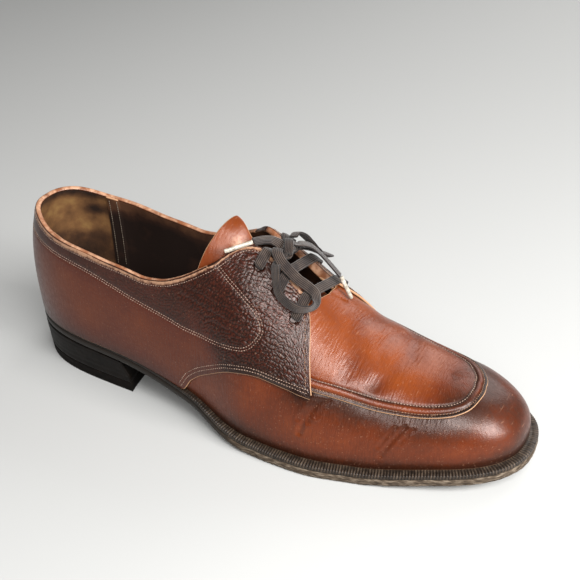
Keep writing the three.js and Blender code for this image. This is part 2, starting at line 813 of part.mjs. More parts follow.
// The knot, and the loops and ends that leave it, as routes chosen by hand in millimetres from
// the middle of the feather line. facing holds the ways that the lace's flat side looks at the
// route's points, and the last of them holds for the rest. The top bar's dip is x, y and a rise
// over the crown
const KNOT = { centre: [17.5, 0.5, 102.2], half: [6.4, 5.4, 3.9] };
const BAR_DIP = [[11.6, -3.9, 1], [14.6, -1.2, 0.6], [16.2, 1.6, 1.2], [14.6, 5, 2]];
const ROUTES = {
  lace_loop_lateral: {
    facing: [
      [0.25, -0.25, 0.94],
      [0.3, -0.4, 0.87],
      [0.41, -0.6, 0.69],
      [0.45, -0.62, 0.64],
      [0.5, -0.6, 0.62],
      [0.62, -0.52, 0.58],
      [0.78, -0.5, 0.38],
      [0.7, -0.7, 0.05],
      [0.46, -0.83, -0.29],
      [0.15, -0.95, -0.1],
      [-0.15, -0.95, 0.1],
      [-0.35, -0.85, 0.3],
      [-0.35, -0.8, 0.4],
      [-0.3, -0.75, 0.55],
      [-0.2, -0.6, 0.75],
      [-0.1, -0.4, 0.9],
    ],
    points: [
      [14.9, -5.9, 103.3],
      [16, -8.8, 102.8],
      [19.2, -10.6, 99.6],
      [23.7, -10.5, 95.2],
      [28.4, -10, 91],
      [33.2, -8.7, 87.4],
      [37.4, -8.8, 84.2],
      [39.4, -12.6, 81.2],
      [38.4, -18.6, 81],
      [34.4, -22.6, 82.4],
      [29.2, -23.8, 85.2],
      [24.6, -23.2, 88.6],
      [21.6, -20.4, 92.2],
      [19.4, -17, 96],
      [17.2, -12.6, 97.6],
      [17, -7.8, 98.6],
    ],
  },
  lace_loop_medial: {
    facing: [[-0.25, 0.35, 0.9]],
    points: [
      [16.8, 6.9, 104.4],
      [17, 10.6, 105],
      [18.4, 14.6, 102.4],
      [20.4, 17.8, 97.8],
      [23.2, 20.2, 93.2],
      [27, 21.6, 90],
      [30.8, 20, 89.8],
      [31, 17, 91.4],
      [28.6, 14.6, 93.6],
      [25.2, 11.4, 96.4],
      [22.4, 7.8, 98.6],
    ],
  },
  lace_end_lateral: {
    facing: [[0.1, -0.35, 0.93]],
    points: [
      [10.6, -1.6, 104.6],
      [8.8, -2.6, 105.4],
      [6.6, -4.4, 105.8],
      [4.4, -6.6, 105.9],
      [2.4, -9, 105.9],
    ],
  },
  lace_end_medial: {
    facing: [[0.45, 0.3, 0.84]],
    points: [
      [24.2, 4, 103.6],
      [27.4, 6.6, 101.8],
      [30.8, 9, 97.6],
      [34.6, 10.8, 92.6],
      [38.4, 11.6, 88.2],
      [41.4, 12, 84.8],
    ],
  },
};
const AGLETS = {
  aglet_lateral: { from: [2, -9.4, 105.9], to: [-8.2, -20.4, 103.4] },
  aglet_medial: { from: [41.8, 12.1, 84.2], to: [47.8, 12.5, 72.4] },
};
const ROUTE_STEPS = 2;
const toVector = (values) => new THREE.Vector3(...values);

const KNOT_SIDES = 12;
const KNOT_RINGS = 8;
function makeKnot() {
  const geometry = new THREE.SphereGeometry(1, KNOT_SIDES, KNOT_RINGS);
  geometry.scale(...KNOT.half);
  geometry.translate(...KNOT.centre);
  return bare(geometry);
}

function makeRoute({ points, facing }) {
  const looks = points.map((_, i) => facing[Math.min(i, facing.length - 1)]);
  const [path, look] = [points, looks].map((list) => {
    const curve = new THREE.CatmullRomCurve3(list.map(toVector));
    return curve.getPoints((points.length - 1) * ROUTE_STEPS);
  });
  return laceStrip(path, (tangent, i) => tangent.clone().cross(look[i]), LACE_WIDTH, LACE_THICKNESS);
}

const AGLET_SIDES = 8;
function makeAglet({ from, to }) {
  const run = toVector(to).sub(toVector(from));
  const gap = run.clone().setLength(CLEARANCE);
  const centre = toVector(from).add(toVector(to)).add(gap).multiplyScalar(0.5);
  const length = run.length() - CLEARANCE;
  return rod(AGLET_DIAMETER / 2, length, AGLET_SIDES, run.normalize(), centre);
}

const material = (colour, roughness) => new THREE.MeshStandardMaterial({ color: colour, roughness });
const FINISH = {
  calf: material(0x8a4420, 0.35),
  grain: material(0x4a2418, 0.45),
  lining: material(0x6e4a2c, 0.8),
  insole: material(0x9a7a4a, 0.85),
  sole: material(0x3a2a20, 0.55),
  welt: material(0x2a1c14, 0.5),
  rubber: material(0x1c1916, 0.7),
  lace: material(0x4a4036, 0.8),
  aglet: material(0xc9c2b4, 0.3),
};

const shoe = new THREE.Group();
function add(name, geometry, finish) {
  const mesh = new THREE.Mesh(geometry, finish);
  mesh.name = name;
  shoe.add(mesh);
  return mesh;
}

add('outsole', makeOutsole(), FINISH.sole);
add('welt', makeWelt(), FINISH.welt);
add('heel_stack', makeHeelStack(), FINISH.sole);
add('heel_top_piece', makeTopPiece(), FINISH.rubber);
add('insole', makeInsole(), FINISH.insole);
add('upper', bored(makeShell(), SIDES), FINISH.calf);
add('apron', makeApron(), FINISH.calf);
add('quarter_lateral', bored(makeQuarter(LATERAL), [LATERAL]), FINISH.grain);
add('quarter_medial', bored(makeQuarter(-LATERAL), [-LATERAL]), FINISH.grain);
add('tongue', makeTongue(), FINISH.calf);
EYELETS.rows.forEach((row, i) => {
  add(`lace_bar_${i + 1}`, makeBar(row, i === 0 ? barDip() : []), FINISH.lace);
});

// The origin is under the middle of the shoe, on the floor. The free lace doesn't count
const box = new THREE.Box3().setFromObject(shoe);
const middle = box.getCenter(new THREE.Vector3());
shoe.position.set(-middle.x, -middle.y, -box.min.z);

add('lace_knot', makeKnot(), FINISH.lace);
Object.entries(ROUTES).forEach(([name, route]) => add(name, makeRoute(route), FINISH.lace));
Object.entries(AGLETS).forEach(([name, aglet]) => add(name, makeAglet(aglet), FINISH.aglet));

export default shoe;
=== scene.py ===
# %% [markdown]
# # Apron toe derby, right shoe
# A men's lace-up shoe in burnished calf, built over the solids of its CAD model. The solids give the
# true sizes and places. Here every visible piece becomes a dense surface with its own finish, so that
# light finds the grain, the seams and the creases that a plain solid lacks.

import bmesh
import bpy
import numpy as np
from mathutils import Matrix, Vector


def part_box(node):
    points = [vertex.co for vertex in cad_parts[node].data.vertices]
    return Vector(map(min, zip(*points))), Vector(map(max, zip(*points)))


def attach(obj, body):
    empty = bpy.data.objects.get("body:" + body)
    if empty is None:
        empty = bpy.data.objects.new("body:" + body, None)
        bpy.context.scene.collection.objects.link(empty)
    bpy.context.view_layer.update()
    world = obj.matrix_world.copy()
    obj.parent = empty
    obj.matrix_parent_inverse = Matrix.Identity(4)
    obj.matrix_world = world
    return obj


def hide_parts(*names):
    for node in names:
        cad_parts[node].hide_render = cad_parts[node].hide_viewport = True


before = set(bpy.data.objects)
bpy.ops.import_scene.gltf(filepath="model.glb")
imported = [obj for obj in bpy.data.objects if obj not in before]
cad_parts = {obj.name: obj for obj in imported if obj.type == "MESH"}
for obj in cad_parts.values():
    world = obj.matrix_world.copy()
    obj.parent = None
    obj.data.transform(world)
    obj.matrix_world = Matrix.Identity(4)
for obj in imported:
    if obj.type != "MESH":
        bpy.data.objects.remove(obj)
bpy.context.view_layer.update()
MM = 0.001

# %% [markdown]
# ## The last
# A shoe is made over a last, a wooden or plastic foot. Its outline seen from above is the feather line,
# where upper and sole meet. Ribs rise from that line to a ridge along the top. Tables of shares give the
# outline and the ribs, so one driving size can change while the proportions stay.

# %% Driving sizes in millimetres
LAST_LENGTH = 297.0
BALL_WIDTH = 90.0
INSTEP_HEIGHT = 87.0
HEEL_LIFT = 22.0
TOE_SPRING = 8.2
OUTSOLE = 4.5
WELT = 2.5
WELT_EDGE = 5.0
WELT_SEAT = 7.0
INSOLE = 2.6
TOP_PIECE = 6.5
HEEL_TAPER = 1.6
BREAST_FLARE = 5.0
BREAST_HOLLOW = 4.0
WALL = 2.0
LINING = 1.4
APRON = 1.1
QUARTER = 1.3
TONGUE = 1.8
CLEARANCE = 0.3
SKIN_GAP = 0.4
LACE_WIDTH = 5.5
LACE_THICKNESS = 1.2
LACE_SEAT = 0.7
LATERAL, MEDIAL = -1, 1
SIDES = (LATERAL, MEDIAL)

# %% Tables of the outline, the sole and the ribs
# share, lateral half width, medial half width, centre line, as shares of BALL_WIDTH
PLAN = np.array([
    [0.0, 0.345, 0.35, 0.0],
    [0.12, 0.345, 0.35, 0.0],
    [0.25, 0.361, 0.328, 0.0],
    [0.42, 0.417, 0.322, 0.011],
    [0.55, 0.522, 0.372, 0.022],
    [0.66, 0.533, 0.461, 0.035],
    [0.76, 0.494, 0.483, 0.067],
    [0.88, 0.455, 0.45, 0.1],
    [1.0, 0.455, 0.417, 0.122],
])
TOE_SHARE, TOE_POWER = 0.277, 2.45
HEEL_SHARE, HEEL_POWER = 0.19, 2.3
# share, heel lift, toe spring, welt thickness, how far the sole's edge stands out
SOLE = np.array([
    [0.0, 1.09, 0, 0.48, 0.3],
    [0.15, 1.0, 0, 0.48, 0.3],
    [0.25, 0.93, 0, 0.56, 0.34],
    [0.4, 0.555, 0, 0.84, 0.5],
    [0.5, 0.13, 0, 0.96, 0.76],
    [0.58, 0.015, 0, 1, 0.92],
    [0.62, 0, 0, 1, 0.96],
    [0.75, 0, 0, 1, 1],
    [0.82, 0, 0.24, 1, 1],
    [0.9, 0, 0.66, 1, 0.96],
    [1.0, 0, 1, 1, 0.9],
])
# share, crown height, power of the arch, ridge line, lateral bulge, medial bulge
BODY = np.array([
    [0.0, 1.125, 2.14, 0, 0.1, 0.1],
    [0.15, 1.13, 2.16, 0, 0.09, 0.09],
    [0.3, 1.115, 2.24, 0, 0.065, 0.09],
    [0.42, 1.1, 2.18, 0.011, 0.045, 0.11],
    [0.49, 1.09, 2.06, 0.022, 0.045, 0.11],
    [0.54, 1.03, 2.0, 0.028, 0.045, 0.11],
    [0.6, 0.875, 1.93, 0.033, 0.04, 0.08],
    [0.66, 0.715, 1.97, 0.039, 0.04, 0.05],
    [0.74, 0.54, 2.13, 0.055, 0.04, 0.04],
    [0.82, 0.43, 2.25, 0.067, 0.03, 0.03],
    [0.92, 0.345, 2.38, 0.089, 0.03, 0.03],
    [1.0, 0.27, 2.4, 0.111, 0.03, 0.03],
])
HEEL_POLE, TOE_POLE, POLE_BLEND = 0.15, 0.86, 0.05


def read(table, column, share):
    """A table's column at each share: cubic pieces between rows whose slopes never overshoot them."""
    x, y = table[:, 0], table[:, column]
    step = np.diff(x)
    rise = np.diff(y) / step
    slope = np.concatenate([rise[:1], np.zeros(len(x) - 2), rise[-1:]])
    same = rise[:-1] * rise[1:] > 0
    near, far = 2 * step[1:] + step[:-1], step[1:] + 2 * step[:-1]
    safe = np.where(same, rise[:-1], 1), np.where(same, rise[1:], 1)
    slope[1:-1] = np.where(same, (near + far) / (near / safe[0] + far / safe[1]), 0)
    share = np.asarray(share, float)
    inside = np.clip(share, x[0], x[-1])
    i = np.clip(np.searchsorted(x, inside, side="right") - 1, 0, len(x) - 2)
    t = (inside - x[i]) / step[i]
    value = (2 * t**3 - 3 * t**2 + 1) * y[i] + (t**3 - 2 * t**2 + t) * step[i] * slope[i]
    value = value + (3 * t**2 - 2 * t**3) * y[i + 1] + (t**3 - t**2) * step[i] * slope[i + 1]
    return value + np.minimum(share - x[0], 0) * slope[0] + np.maximum(share - x[-1], 0) * slope[-1]


def smooth(value, low, high):
    """0 below low, 1 above high, and a soft S between them."""
    t = np.clip((np.asarray(value, float) - low) / (high - low), 0, 1)
    return t * t * (3 - 2 * t)


# %% The feather line and the heights of the sole
def feather(side, share):
    """x and y of the feather line: a width from the table, rounded at heel and toe by superellipses."""
    width = BALL_WIDTH * read(PLAN, 1 if side == LATERAL else 2, share)
    toe = np.clip((share - 1 + TOE_SHARE) / TOE_SHARE, 0, 1)
    heel = np.clip((HEEL_SHARE - share) / HEEL_SHARE, 0, 1)
    width = width * (1 - toe**TOE_POWER) ** (1 / TOE_POWER) * (1 - heel**HEEL_POWER) ** (1 / HEEL_POWER)
    return np.stack([(share - 0.5) * LAST_LENGTH, BALL_WIDTH * read(PLAN, 3, share) + side * width], -1)


def sole_bottom(share):
    """Height of the outsole's underside over the floor."""
    return HEEL_LIFT * read(SOLE, 1, share) + TOE_SPRING * read(SOLE, 2, share)


def welt_top(share):
    """Height of the welt's upper face."""
    return sole_bottom(share) + OUTSOLE + CLEARANCE + WELT * read(SOLE, 3, share)


def crown(share):
    """Height of the ridge along the top of the last."""
    return welt_top(share) + CLEARANCE + INSTEP_HEIGHT * read(BODY, 1, share)


OUTLINE_SHARE = (1 - np.cos(np.linspace(0, np.pi, 401))) / 2


def outline_run(side):
    """Length along one side of the feather line, from the heel back, at each outline share."""
    steps = np.linalg.norm(np.diff(feather(side, OUTLINE_SHARE), axis=0), axis=1)
    return np.concatenate([[0], np.cumsum(steps)])


RUNS = [outline_run(side) for side in SIDES]
OUTLINE_P = (RUNS[0] / RUNS[0][-1] + RUNS[1] / RUNS[1][-1]) / 2
FEATHER_LENGTH = (RUNS[0][-1] + RUNS[1][-1]) / 2
print("feather line, one side:", round(FEATHER_LENGTH, 1), "mm")

# %% [markdown]
# ## A grid over the upper
# Each place on the upper has two shares. p runs along the feather line from heel back to toe tip, and v
# runs up a rib from the feather line to the ridge. The ribs are worked out once on a fine grid for each
# side, and every panel, seam and crease then looks its places up there. That keeps panels parallel.

# %% Ribs on a fine grid, with their normals
GRID_P, GRID_V = 801, 241
GRID_SHARES = np.linspace(0, 1, GRID_P)


def soft_limit(share, limit):
    """The share, held at a limit with a parabola in between."""
    past = share - limit
    bent = share - (past + POLE_BLEND) ** 2 / (4 * POLE_BLEND)
    return np.where(past < -POLE_BLEND, share, np.where(past > POLE_BLEND, limit, bent))


def rib_grid(side):
    """Arches from the feather line to the ridge: cosine and sine to the power 2/n, with a bulge of
    sin twice the angle, then spaced evenly along each arch."""
    station = np.interp(GRID_SHARES, OUTLINE_P, OUTLINE_SHARE)
    foot = feather(side, station)
    foot_z = welt_top(station) + CLEARANCE
    ridge = -soft_limit(-soft_limit(station, TOE_POLE), -HEEL_POLE)
    top_x, top_y = (ridge - 0.5) * LAST_LENGTH, BALL_WIDTH * read(BODY, 3, ridge)
    power = read(BODY, 2, station)[:, None]
    bulge = read(BODY, 4 if side == LATERAL else 5, station)[:, None]
    angle = np.linspace(0, np.pi / 2, 361)[None, :]
    lean = np.cos(angle) ** (2 / power)
    lean[:, -1] = 0
    across = lean + bulge * np.sin(2 * angle)
    x = top_x[:, None] + (foot[:, :1] - top_x[:, None]) * across
    y = top_y[:, None] + (foot[:, 1:] - top_y[:, None]) * across
    z = foot_z[:, None] + (crown(x / LAST_LENGTH + 0.5) - foot_z[:, None]) * np.sin(angle) ** (2 / power)
    arches = np.stack([x, y, z], -1)
    run = np.cumsum(np.linalg.norm(np.diff(arches, axis=1), axis=2), axis=1)
    run = np.concatenate([np.zeros((GRID_P, 1)), run], axis=1)
    goals = np.linspace(0, 1, GRID_V)
    even = [[np.interp(goals * r[-1], r, a[:, k]) for r, a in zip(run, arches)] for k in range(3)]
    return np.moveaxis(np.array(even), 0, -1), run[:, -1]


def grid_normals(side, points):
    """Outward unit normals of a grid, from the cross product of its two directions."""
    along, up = np.gradient(points, axis=0), np.gradient(points, axis=1)
    along[0], along[-1] = [0, side, 0], [0, -side, 0]
    normal = np.cross(along, up) * (1 if side == LATERAL else -1)
    size = np.linalg.norm(normal, axis=-1, keepdims=True)
    normal[:, -1] = np.where(size[:, -1] < 1e-3 * size[:, -2], normal[:, -2], normal[:, -1])
    return normal / np.linalg.norm(normal, axis=-1, keepdims=True)


GRID, RIB_LENGTH, NORMAL = {}, {}, {}
for side in SIDES:
    GRID[side], RIB_LENGTH[side] = rib_grid(side)
    NORMAL[side] = grid_normals(side, GRID[side])
ridge_normal = NORMAL[LATERAL][:, -1] + NORMAL[MEDIAL][:, -1]
ridge_line = GRID[LATERAL][:, -1]
for pole in (0, -1):
    shared = np.linalg.norm(ridge_line - ridge_line[pole], axis=1) < 0.01
    ridge_normal[shared] = ridge_normal[shared].mean(0)
ridge_normal /= np.linalg.norm(ridge_normal, axis=-1, keepdims=True)
for side in SIDES:
    fade = smooth(np.linspace(0, 1, GRID_V), 0.965, 1)[None, :, None]
    mixed = NORMAL[side] * (1 - fade) + ridge_normal[:, None] * fade
    NORMAL[side] = mixed / np.linalg.norm(mixed, axis=-1, keepdims=True)


def look_up(grid, p, v):
    """Values of a grid between its points, by straight lines both ways."""
    p, v = np.broadcast_arrays(np.asarray(p, float), np.asarray(v, float))
    a = np.clip(p, 0, 1) * (GRID_P - 1)
    b = np.clip(v, 0, 1) * (GRID_V - 1)
    i = np.minimum(a.astype(int), GRID_P - 2)
    j = np.minimum(b.astype(int), GRID_V - 2)
    s, t = (a - i)[..., None], (b - j)[..., None]
    low = grid[i, j] * (1 - s) + grid[i + 1, j] * s
    high = grid[i, j + 1] * (1 - s) + grid[i + 1, j + 1] * s
    return low * (1 - t) + high * t


def place(side, p, v, height=0.0):
    """Points at a height over the last's surface, in millimetres, with the toe along +x."""
    normal = look_up(NORMAL[side], p, v)
    return look_up(GRID[side], p, v) + normal * np.asarray(height, float)[..., None]


# The CAD model is centred on its own box, so its shift comes from the sole's edge at the heel and sides
def edge_points(side, share, out):
    """The feather line moved outwards by a distance, along its own normal."""
    step = 0.0015
    ahead = feather(side, np.minimum(share + step, 1))
    along = ahead - feather(side, np.maximum(share - step, 0))
    normal = np.stack([-along[..., 1], along[..., 0]], -1) * side
    normal = np.where((share <= 0)[..., None], [-1.0, 0.0], normal)
    normal = np.where((share >= 1)[..., None], [1.0, 0.0], normal)
    normal /= np.linalg.norm(normal, axis=-1, keepdims=True)
    return feather(side, share) + normal * np.asarray(out, float)[..., None]


def sole_edge(share):
    """How far the sole's edge stands out from the feather line."""
    return WELT_EDGE * read(SOLE, 4, share)


OUTER_EDGE = np.concatenate([edge_points(s, OUTLINE_SHARE, sole_edge(OUTLINE_SHARE)) for s in SIDES])
sole_low, sole_high = [np.array(corner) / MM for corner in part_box("outsole")]
edge_middle = (OUTER_EDGE.min(0) + OUTER_EDGE.max(0)) / 2
SHIFT = np.append((sole_low + sole_high)[:2] / 2 - edge_middle, 0.0)
print("shift of the last in the frame:", SHIFT.round(2), "mm")

# %% [markdown]
# ## The camera
# The camera stands where the photograph was taken from: in front of the outer side, rather high, with a
# slightly long lens. It aims along its own axis at a point inside the shoe and is rolled by little more
# than a degree. Framing comes from distance and lens alone, so no shift is needed.

# %% Camera
AZIMUTH, ELEVATION, ROLL = np.radians([29.04, 32.10, -1.40])
LENS = 58.71
CAMERA_AT = np.array([222.6, -368.6, 340.7])


def camera_axes():
    """Right, up and backward unit vectors of the camera, turned by its roll."""
    back = np.array([
        np.sin(AZIMUTH) * np.cos(ELEVATION), -np.cos(AZIMUTH) * np.cos(ELEVATION), np.sin(ELEVATION)])
    right = np.array([np.cos(AZIMUTH), np.sin(AZIMUTH), 0])
    up = np.cross(back, right)
    rolled = right * np.cos(ROLL) + up * np.sin(ROLL), -right * np.sin(ROLL) + up * np.cos(ROLL)
    return *rolled, back


camera = bpy.data.objects.new("camera", bpy.data.cameras.new("camera"))
bpy.context.collection.objects.link(camera)
turn = np.eye(4)
turn[:3, :3] = np.stack(camera_axes(), 1)
turn[:3, 3] = (CAMERA_AT + SHIFT) * MM
camera.matrix_world = Matrix(turn.tolist())
camera.data.lens = LENS
camera.data.sensor_width = 36.0
camera.data.clip_start, camera.data.clip_end = 0.01, 20
bpy.context.scene.camera = camera
print("camera", np.linalg.norm(CAMERA_AT).round(), "mm from the feather line's middle")

# %% [markdown]
# ## From points to meshes
# Every piece is a grid of points or several grids side by side. One function puts points and faces into
# a mesh, joins points that fall together, turns all faces outwards and stores a number for each point,
# such as how burnished the leather is there. Materials read those numbers as attributes.


# %% Mesh helpers
def make_piece(name, points, faces, slot, materials, fields=None, uv=None, replaces=(), picks=None):
    """A mesh piece from points in millimetres of the last, riding on the shoe's one body."""
    mesh = bpy.data.meshes.new(name)
    mesh.from_pydata(((points + SHIFT) * MM).tolist(), [], faces.tolist())
    for key, values in (fields or {}).items():
        layer = mesh.attributes.new(key, "FLOAT", "POINT")
        layer.data.foreach_set("value", np.broadcast_to(values, len(points)).astype(np.float32))
    if uv is not None:
        layer = mesh.uv_layers.new(name="hide")
        corners = np.empty(len(mesh.loops), int)
        mesh.loops.foreach_get("vertex_index", corners)
        layer.data.foreach_set("uv", (uv[corners] * MM).astype(np.float32).ravel())
    for material in materials:
        mesh.materials.append(material)
    if picks is not None:
        mesh.polygons.foreach_set("material_index", picks.astype(np.int32))
    tidy = bmesh.new()
    tidy.from_mesh(mesh)
    bmesh.ops.remove_doubles(tidy, verts=tidy.verts, dist=2e-6)
    bmesh.ops.recalc_face_normals(tidy, faces=tidy.faces)
    tidy.to_mesh(mesh)
    tidy.free()
    mesh.shade_smooth()
    piece = bpy.data.objects.new(name, mesh)
    bpy.context.collection.objects.link(piece)
    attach(piece, "root")
    if replaces:
        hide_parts(*replaces)
    print(name, len(mesh.polygons), "faces")
    return piece


def grid_faces(rows, columns, wrap=False):
    """Quads of a grid of points that are numbered row by row. wrap joins the last column to the first."""
    i, j = np.meshgrid(np.arange(rows - 1), np.arange(columns if wrap else columns - 1), indexing="ij")
    after = (j + 1) % columns
    corners = [i * columns + j, i * columns + after, (i + 1) * columns + after, (i + 1) * columns + j]
    return np.stack([c.ravel() for c in corners], -1)


def unit(vectors):
    """Vectors scaled to length 1."""
    return vectors / np.maximum(np.linalg.norm(vectors, axis=-1, keepdims=True), 1e-9)


def along(points):
    """Unit tangents of a line of points, or of each column of a grid."""
    return unit(np.gradient(points, axis=0))


def runs(points):
    """Length along a line of points from its first one."""
    steps = np.linalg.norm(np.diff(points, axis=0), axis=-1)
    return np.concatenate([np.zeros((1,) + steps.shape[1:]), np.cumsum(steps, axis=0)])


def at_lengths(points, run, goals):
    """Columns of points read off at chosen lengths along their run."""
    return np.stack([np.interp(goals, run, column) for column in points.T], -1)


def spline(points, count):
    """A smooth centripetal curve through chosen points, evenly spaced. Columns after z are carried along."""
    points = np.asarray(points, float)
    ends = np.concatenate([[2 * points[0] - points[1]], points, [2 * points[-1] - points[-2]]])
    knots = np.concatenate([[0], np.cumsum(np.linalg.norm(np.diff(ends[:, :3], axis=0), axis=1) ** 0.5)])
    t = np.linspace(knots[1], knots[-2], 24 * len(points))
    i = np.clip(np.searchsorted(knots, t, side="right") - 1, 1, len(points) - 1)
    k = [knots[i + n] for n in (-1, 0, 1, 2)]
    c = [ends[i + n] for n in (-1, 0, 1, 2)]

    def mix(a, b, low, high):
        share = ((t - low) / (high - low))[:, None]
        return a * (1 - share) + b * share

    first = [mix(c[n], c[n + 1], k[n], k[n + 1]) for n in range(3)]
    second = [mix(first[n], first[n + 1], k[n], k[n + 2]) for n in range(2)]
    fine = mix(second[0], second[1], k[1], k[2])
    run = runs(fine[:, :3])
    return at_lengths(fine, run, np.linspace(0, run[-1], count))


def bell(gap, width, power=2):
    """A bell curve of a gap: 1 in the middle, falling off over a width."""
    return np.exp(-(np.abs(gap / width) ** power))


def capped(grid):
    """A tube of rings, closed by one more ring at each end that is pulled to its middle."""
    middle = grid.mean(1, keepdims=True)
    shape = (1, *grid.shape[1:])
    return np.concatenate([np.broadcast_to(middle[:1], shape), grid, np.broadcast_to(middle[-1:], shape)])


def merged(grids, faces):
    """Points of several grids in one list, with the faces of each numbered on from the one before."""
    starts = np.cumsum([0] + [grid.size // 3 for grid in grids[:-1]])
    points = np.concatenate([grid.reshape(-1, 3) for grid in grids])
    return points, np.concatenate([quads + start for quads, start in zip(faces, starts)])


# %% [markdown]
# ## Nodes for materials
# Each finish is a small node tree. One function adds a node with its settings and its links, so a
# material reads from top to bottom like a recipe. Colours are written as screen hex values and turned to
# the linear light values that Blender works in.


# %% Material helpers
def linear(code):
    """An sRGB hex colour as linear red, green, blue and alpha."""
    channels = np.array([int(code[i:i + 2], 16) for i in (1, 3, 5)]) / 255
    values = np.where(channels <= 0.04045, channels / 12.92, ((channels + 0.055) / 1.055) ** 2.4)
    return (*values.tolist(), 1.0)


def add(material, kind, inputs=None, stops=(), **settings):
    """Adds a node. settings are its properties, inputs are values or other nodes' outputs, and stops are
    the (place, hex colour) pairs of a colour ramp."""
    node = material.node_tree.nodes.new("ShaderNode" + kind)
    for _ in stops[2:]:
        node.color_ramp.elements.new(0.5)
    for element, (position, code) in zip(node.color_ramp.elements if stops else (), stops):
        element.position = position
        element.color = linear(code)
    for key, value in settings.items():
        setattr(node, key, value)
    for socket, value in (inputs or {}).items():
        if isinstance(value, bpy.types.NodeSocket):
            material.node_tree.links.new(value, node.inputs[socket])
        else:
            node.inputs[socket].default_value = value
    return node


def new_material(name, roughness, values=()):
    """A material and its principled shader, with its roughness and other values set."""
    material = bpy.data.materials.new(name)
    material.use_nodes = True
    shader = material.node_tree.nodes["Principled BSDF"]
    for socket, value in {"Roughness": roughness, **dict(values)}.items():
        shader.inputs[socket].default_value = value
    return material, shader


def join(material, output, socket):
    """Links one node's output to a socket."""
    material.node_tree.links.new(output, socket)


def mottled(name, roughness, scale, detail, stops, relief=0.0, values=()):
    """A plain finish: one noise picks the colour and can raise a relief, given in millimetres."""
    material, shader = new_material(name, roughness, values)
    coords = add(material, "TexCoord").outputs["Object"]
    noise = add(material, "TexNoise", {"Vector": coords, "Scale": scale, "Detail": detail}).outputs["Fac"]
    tones = add(material, "ValToRGB", {"Fac": noise}, stops)
    join(material, tones.outputs["Color"], shader.inputs["Base Color"])
    if relief:
        bump = add(material, "Bump", {"Height": noise, "Distance": relief * MM, "Strength": 0.5})
        join(material, bump.outputs[0], shader.inputs["Normal"])
    return material


# %% [markdown]
# ## Laces
# The lace is flat woven cotton, 5.5 mm wide, with cords woven in along its length. A ribbon follows each
# route with its flat side turned as listed, and its section is a flattened ring. The routes are points
# chosen in the shoe's own millimetres, as in the CAD model, and its bars run from eyelet to eyelet over
# the facings.


# %% The lace's ribbon
def ribbon(route, facing, width=LACE_WIDTH, thickness=LACE_THICKNESS, ring=40):
    """Points of a flat lace along a route. Across it, the section is a superellipse. Each point's facing
    is the way its flat side looks. width and thickness may change along the route."""
    count = len(route)
    tangent = along(route)
    facing = np.broadcast_to(np.asarray(facing, float), (count, 3))
    across = unit(np.cross(tangent, facing))
    up = unit(np.cross(across, tangent))
    angle = np.linspace(0, 2 * np.pi, ring, endpoint=False)
    c, s = np.cos(angle), np.sin(angle)
    out = np.sign(c) * np.abs(c) ** 0.8
    rise = np.sign(s) * np.abs(s) ** 0.5
    flat = across[:, None] * (out[:, None] * np.broadcast_to(width, count)[:, None, None] / 2)
    thick = up[:, None] * (rise[:, None] * np.broadcast_to(thickness, count)[:, None, None] / 2)
    points = route[:, None] + flat + thick
    uv = np.stack(np.broadcast_arrays((out * LACE_WIDTH / 2)[None, :], runs(route)[:, None]), -1)
    return points, uv


def ribbon_piece(name, parts, material, replaces):
    """Ribbons in one mesh, each closed at both ends."""
    grids = [capped(grid) for grid, _ in parts]
    faces = [grid_faces(*grid.shape[:2], wrap=True) for grid in grids]
    uv = np.concatenate([np.concatenate([uv[:1], uv, uv[-1:]]).reshape(-1, 2) for _, uv in parts])
    return make_piece(name, *merged(grids, faces), "lace_cotton", [material], uv=uv, replaces=replaces)


# %% [markdown]
# Cotton yarn has no gloss of its own, only a soft sheen at grazing angles. Its colour is painted darker
# between the cords as shade and a little lighter on them as highlight. Six cords run along the lace, and
# fine slanted threads cross them, drawn at 0.8 mm because the real 0.4 mm would not show.

# %% Woven cotton
LACE_CORDS = 6
WEAVE = 0.8
# a wave texture of scale 1 repeats after a twentieth of a full turn
WAVE_PERIOD = 0.314
cotton, shader = new_material("woven_cotton", 0.8, {"Sheen Weight": 0.2, "Specular IOR Level": 0.25})
hide = add(cotton, "UVMap", uv_map="hide").outputs[0]
cords = add(cotton, "TexWave", {
    "Vector": hide, "Scale": WAVE_PERIOD * LACE_CORDS / (LACE_WIDTH * MM), "Distortion": 0.4, "Detail": 1.0},
            bands_direction="X")
slant = add(cotton, "Mapping", {"Vector": hide, "Rotation": (0, 0, 0.5)})
weave = add(cotton, "TexWave", {
    "Vector": slant.outputs[0], "Scale": WAVE_PERIOD / (WEAVE * MM), "Distortion": 1.5, "Detail": 2.0},
            bands_direction="Y")
coords = add(cotton, "TexCoord").outputs["Object"]
fade = add(cotton, "TexNoise", {"Vector": coords, "Scale": 160.0, "Detail": 3.0})
threads = add(cotton, "Math", {0: weave.outputs["Fac"], 1: 0.25, 2: cords.outputs["Fac"]},
              operation="MULTIPLY_ADD")
both = add(cotton, "Math", {0: threads.outputs[0], 1: fade.outputs["Fac"]}, operation="MULTIPLY")
# the ramp paints shade between the cords and a highlight on them, from the pattern of the bump
tones = add(cotton, "ValToRGB", {"Fac": both.outputs[0]}, [
    (0.1, "#150e0c"), (0.35, "#2a201c"), (0.65, "#52443a")])
join(cotton, tones.outputs["Color"], shader.inputs["Base Color"])
bump = add(cotton, "Bump", {"Height": threads.outputs[0], "Strength": 0.8, "Distance": 0.3 * MM})
join(cotton, bump.outputs[0], shader.inputs["Normal"])

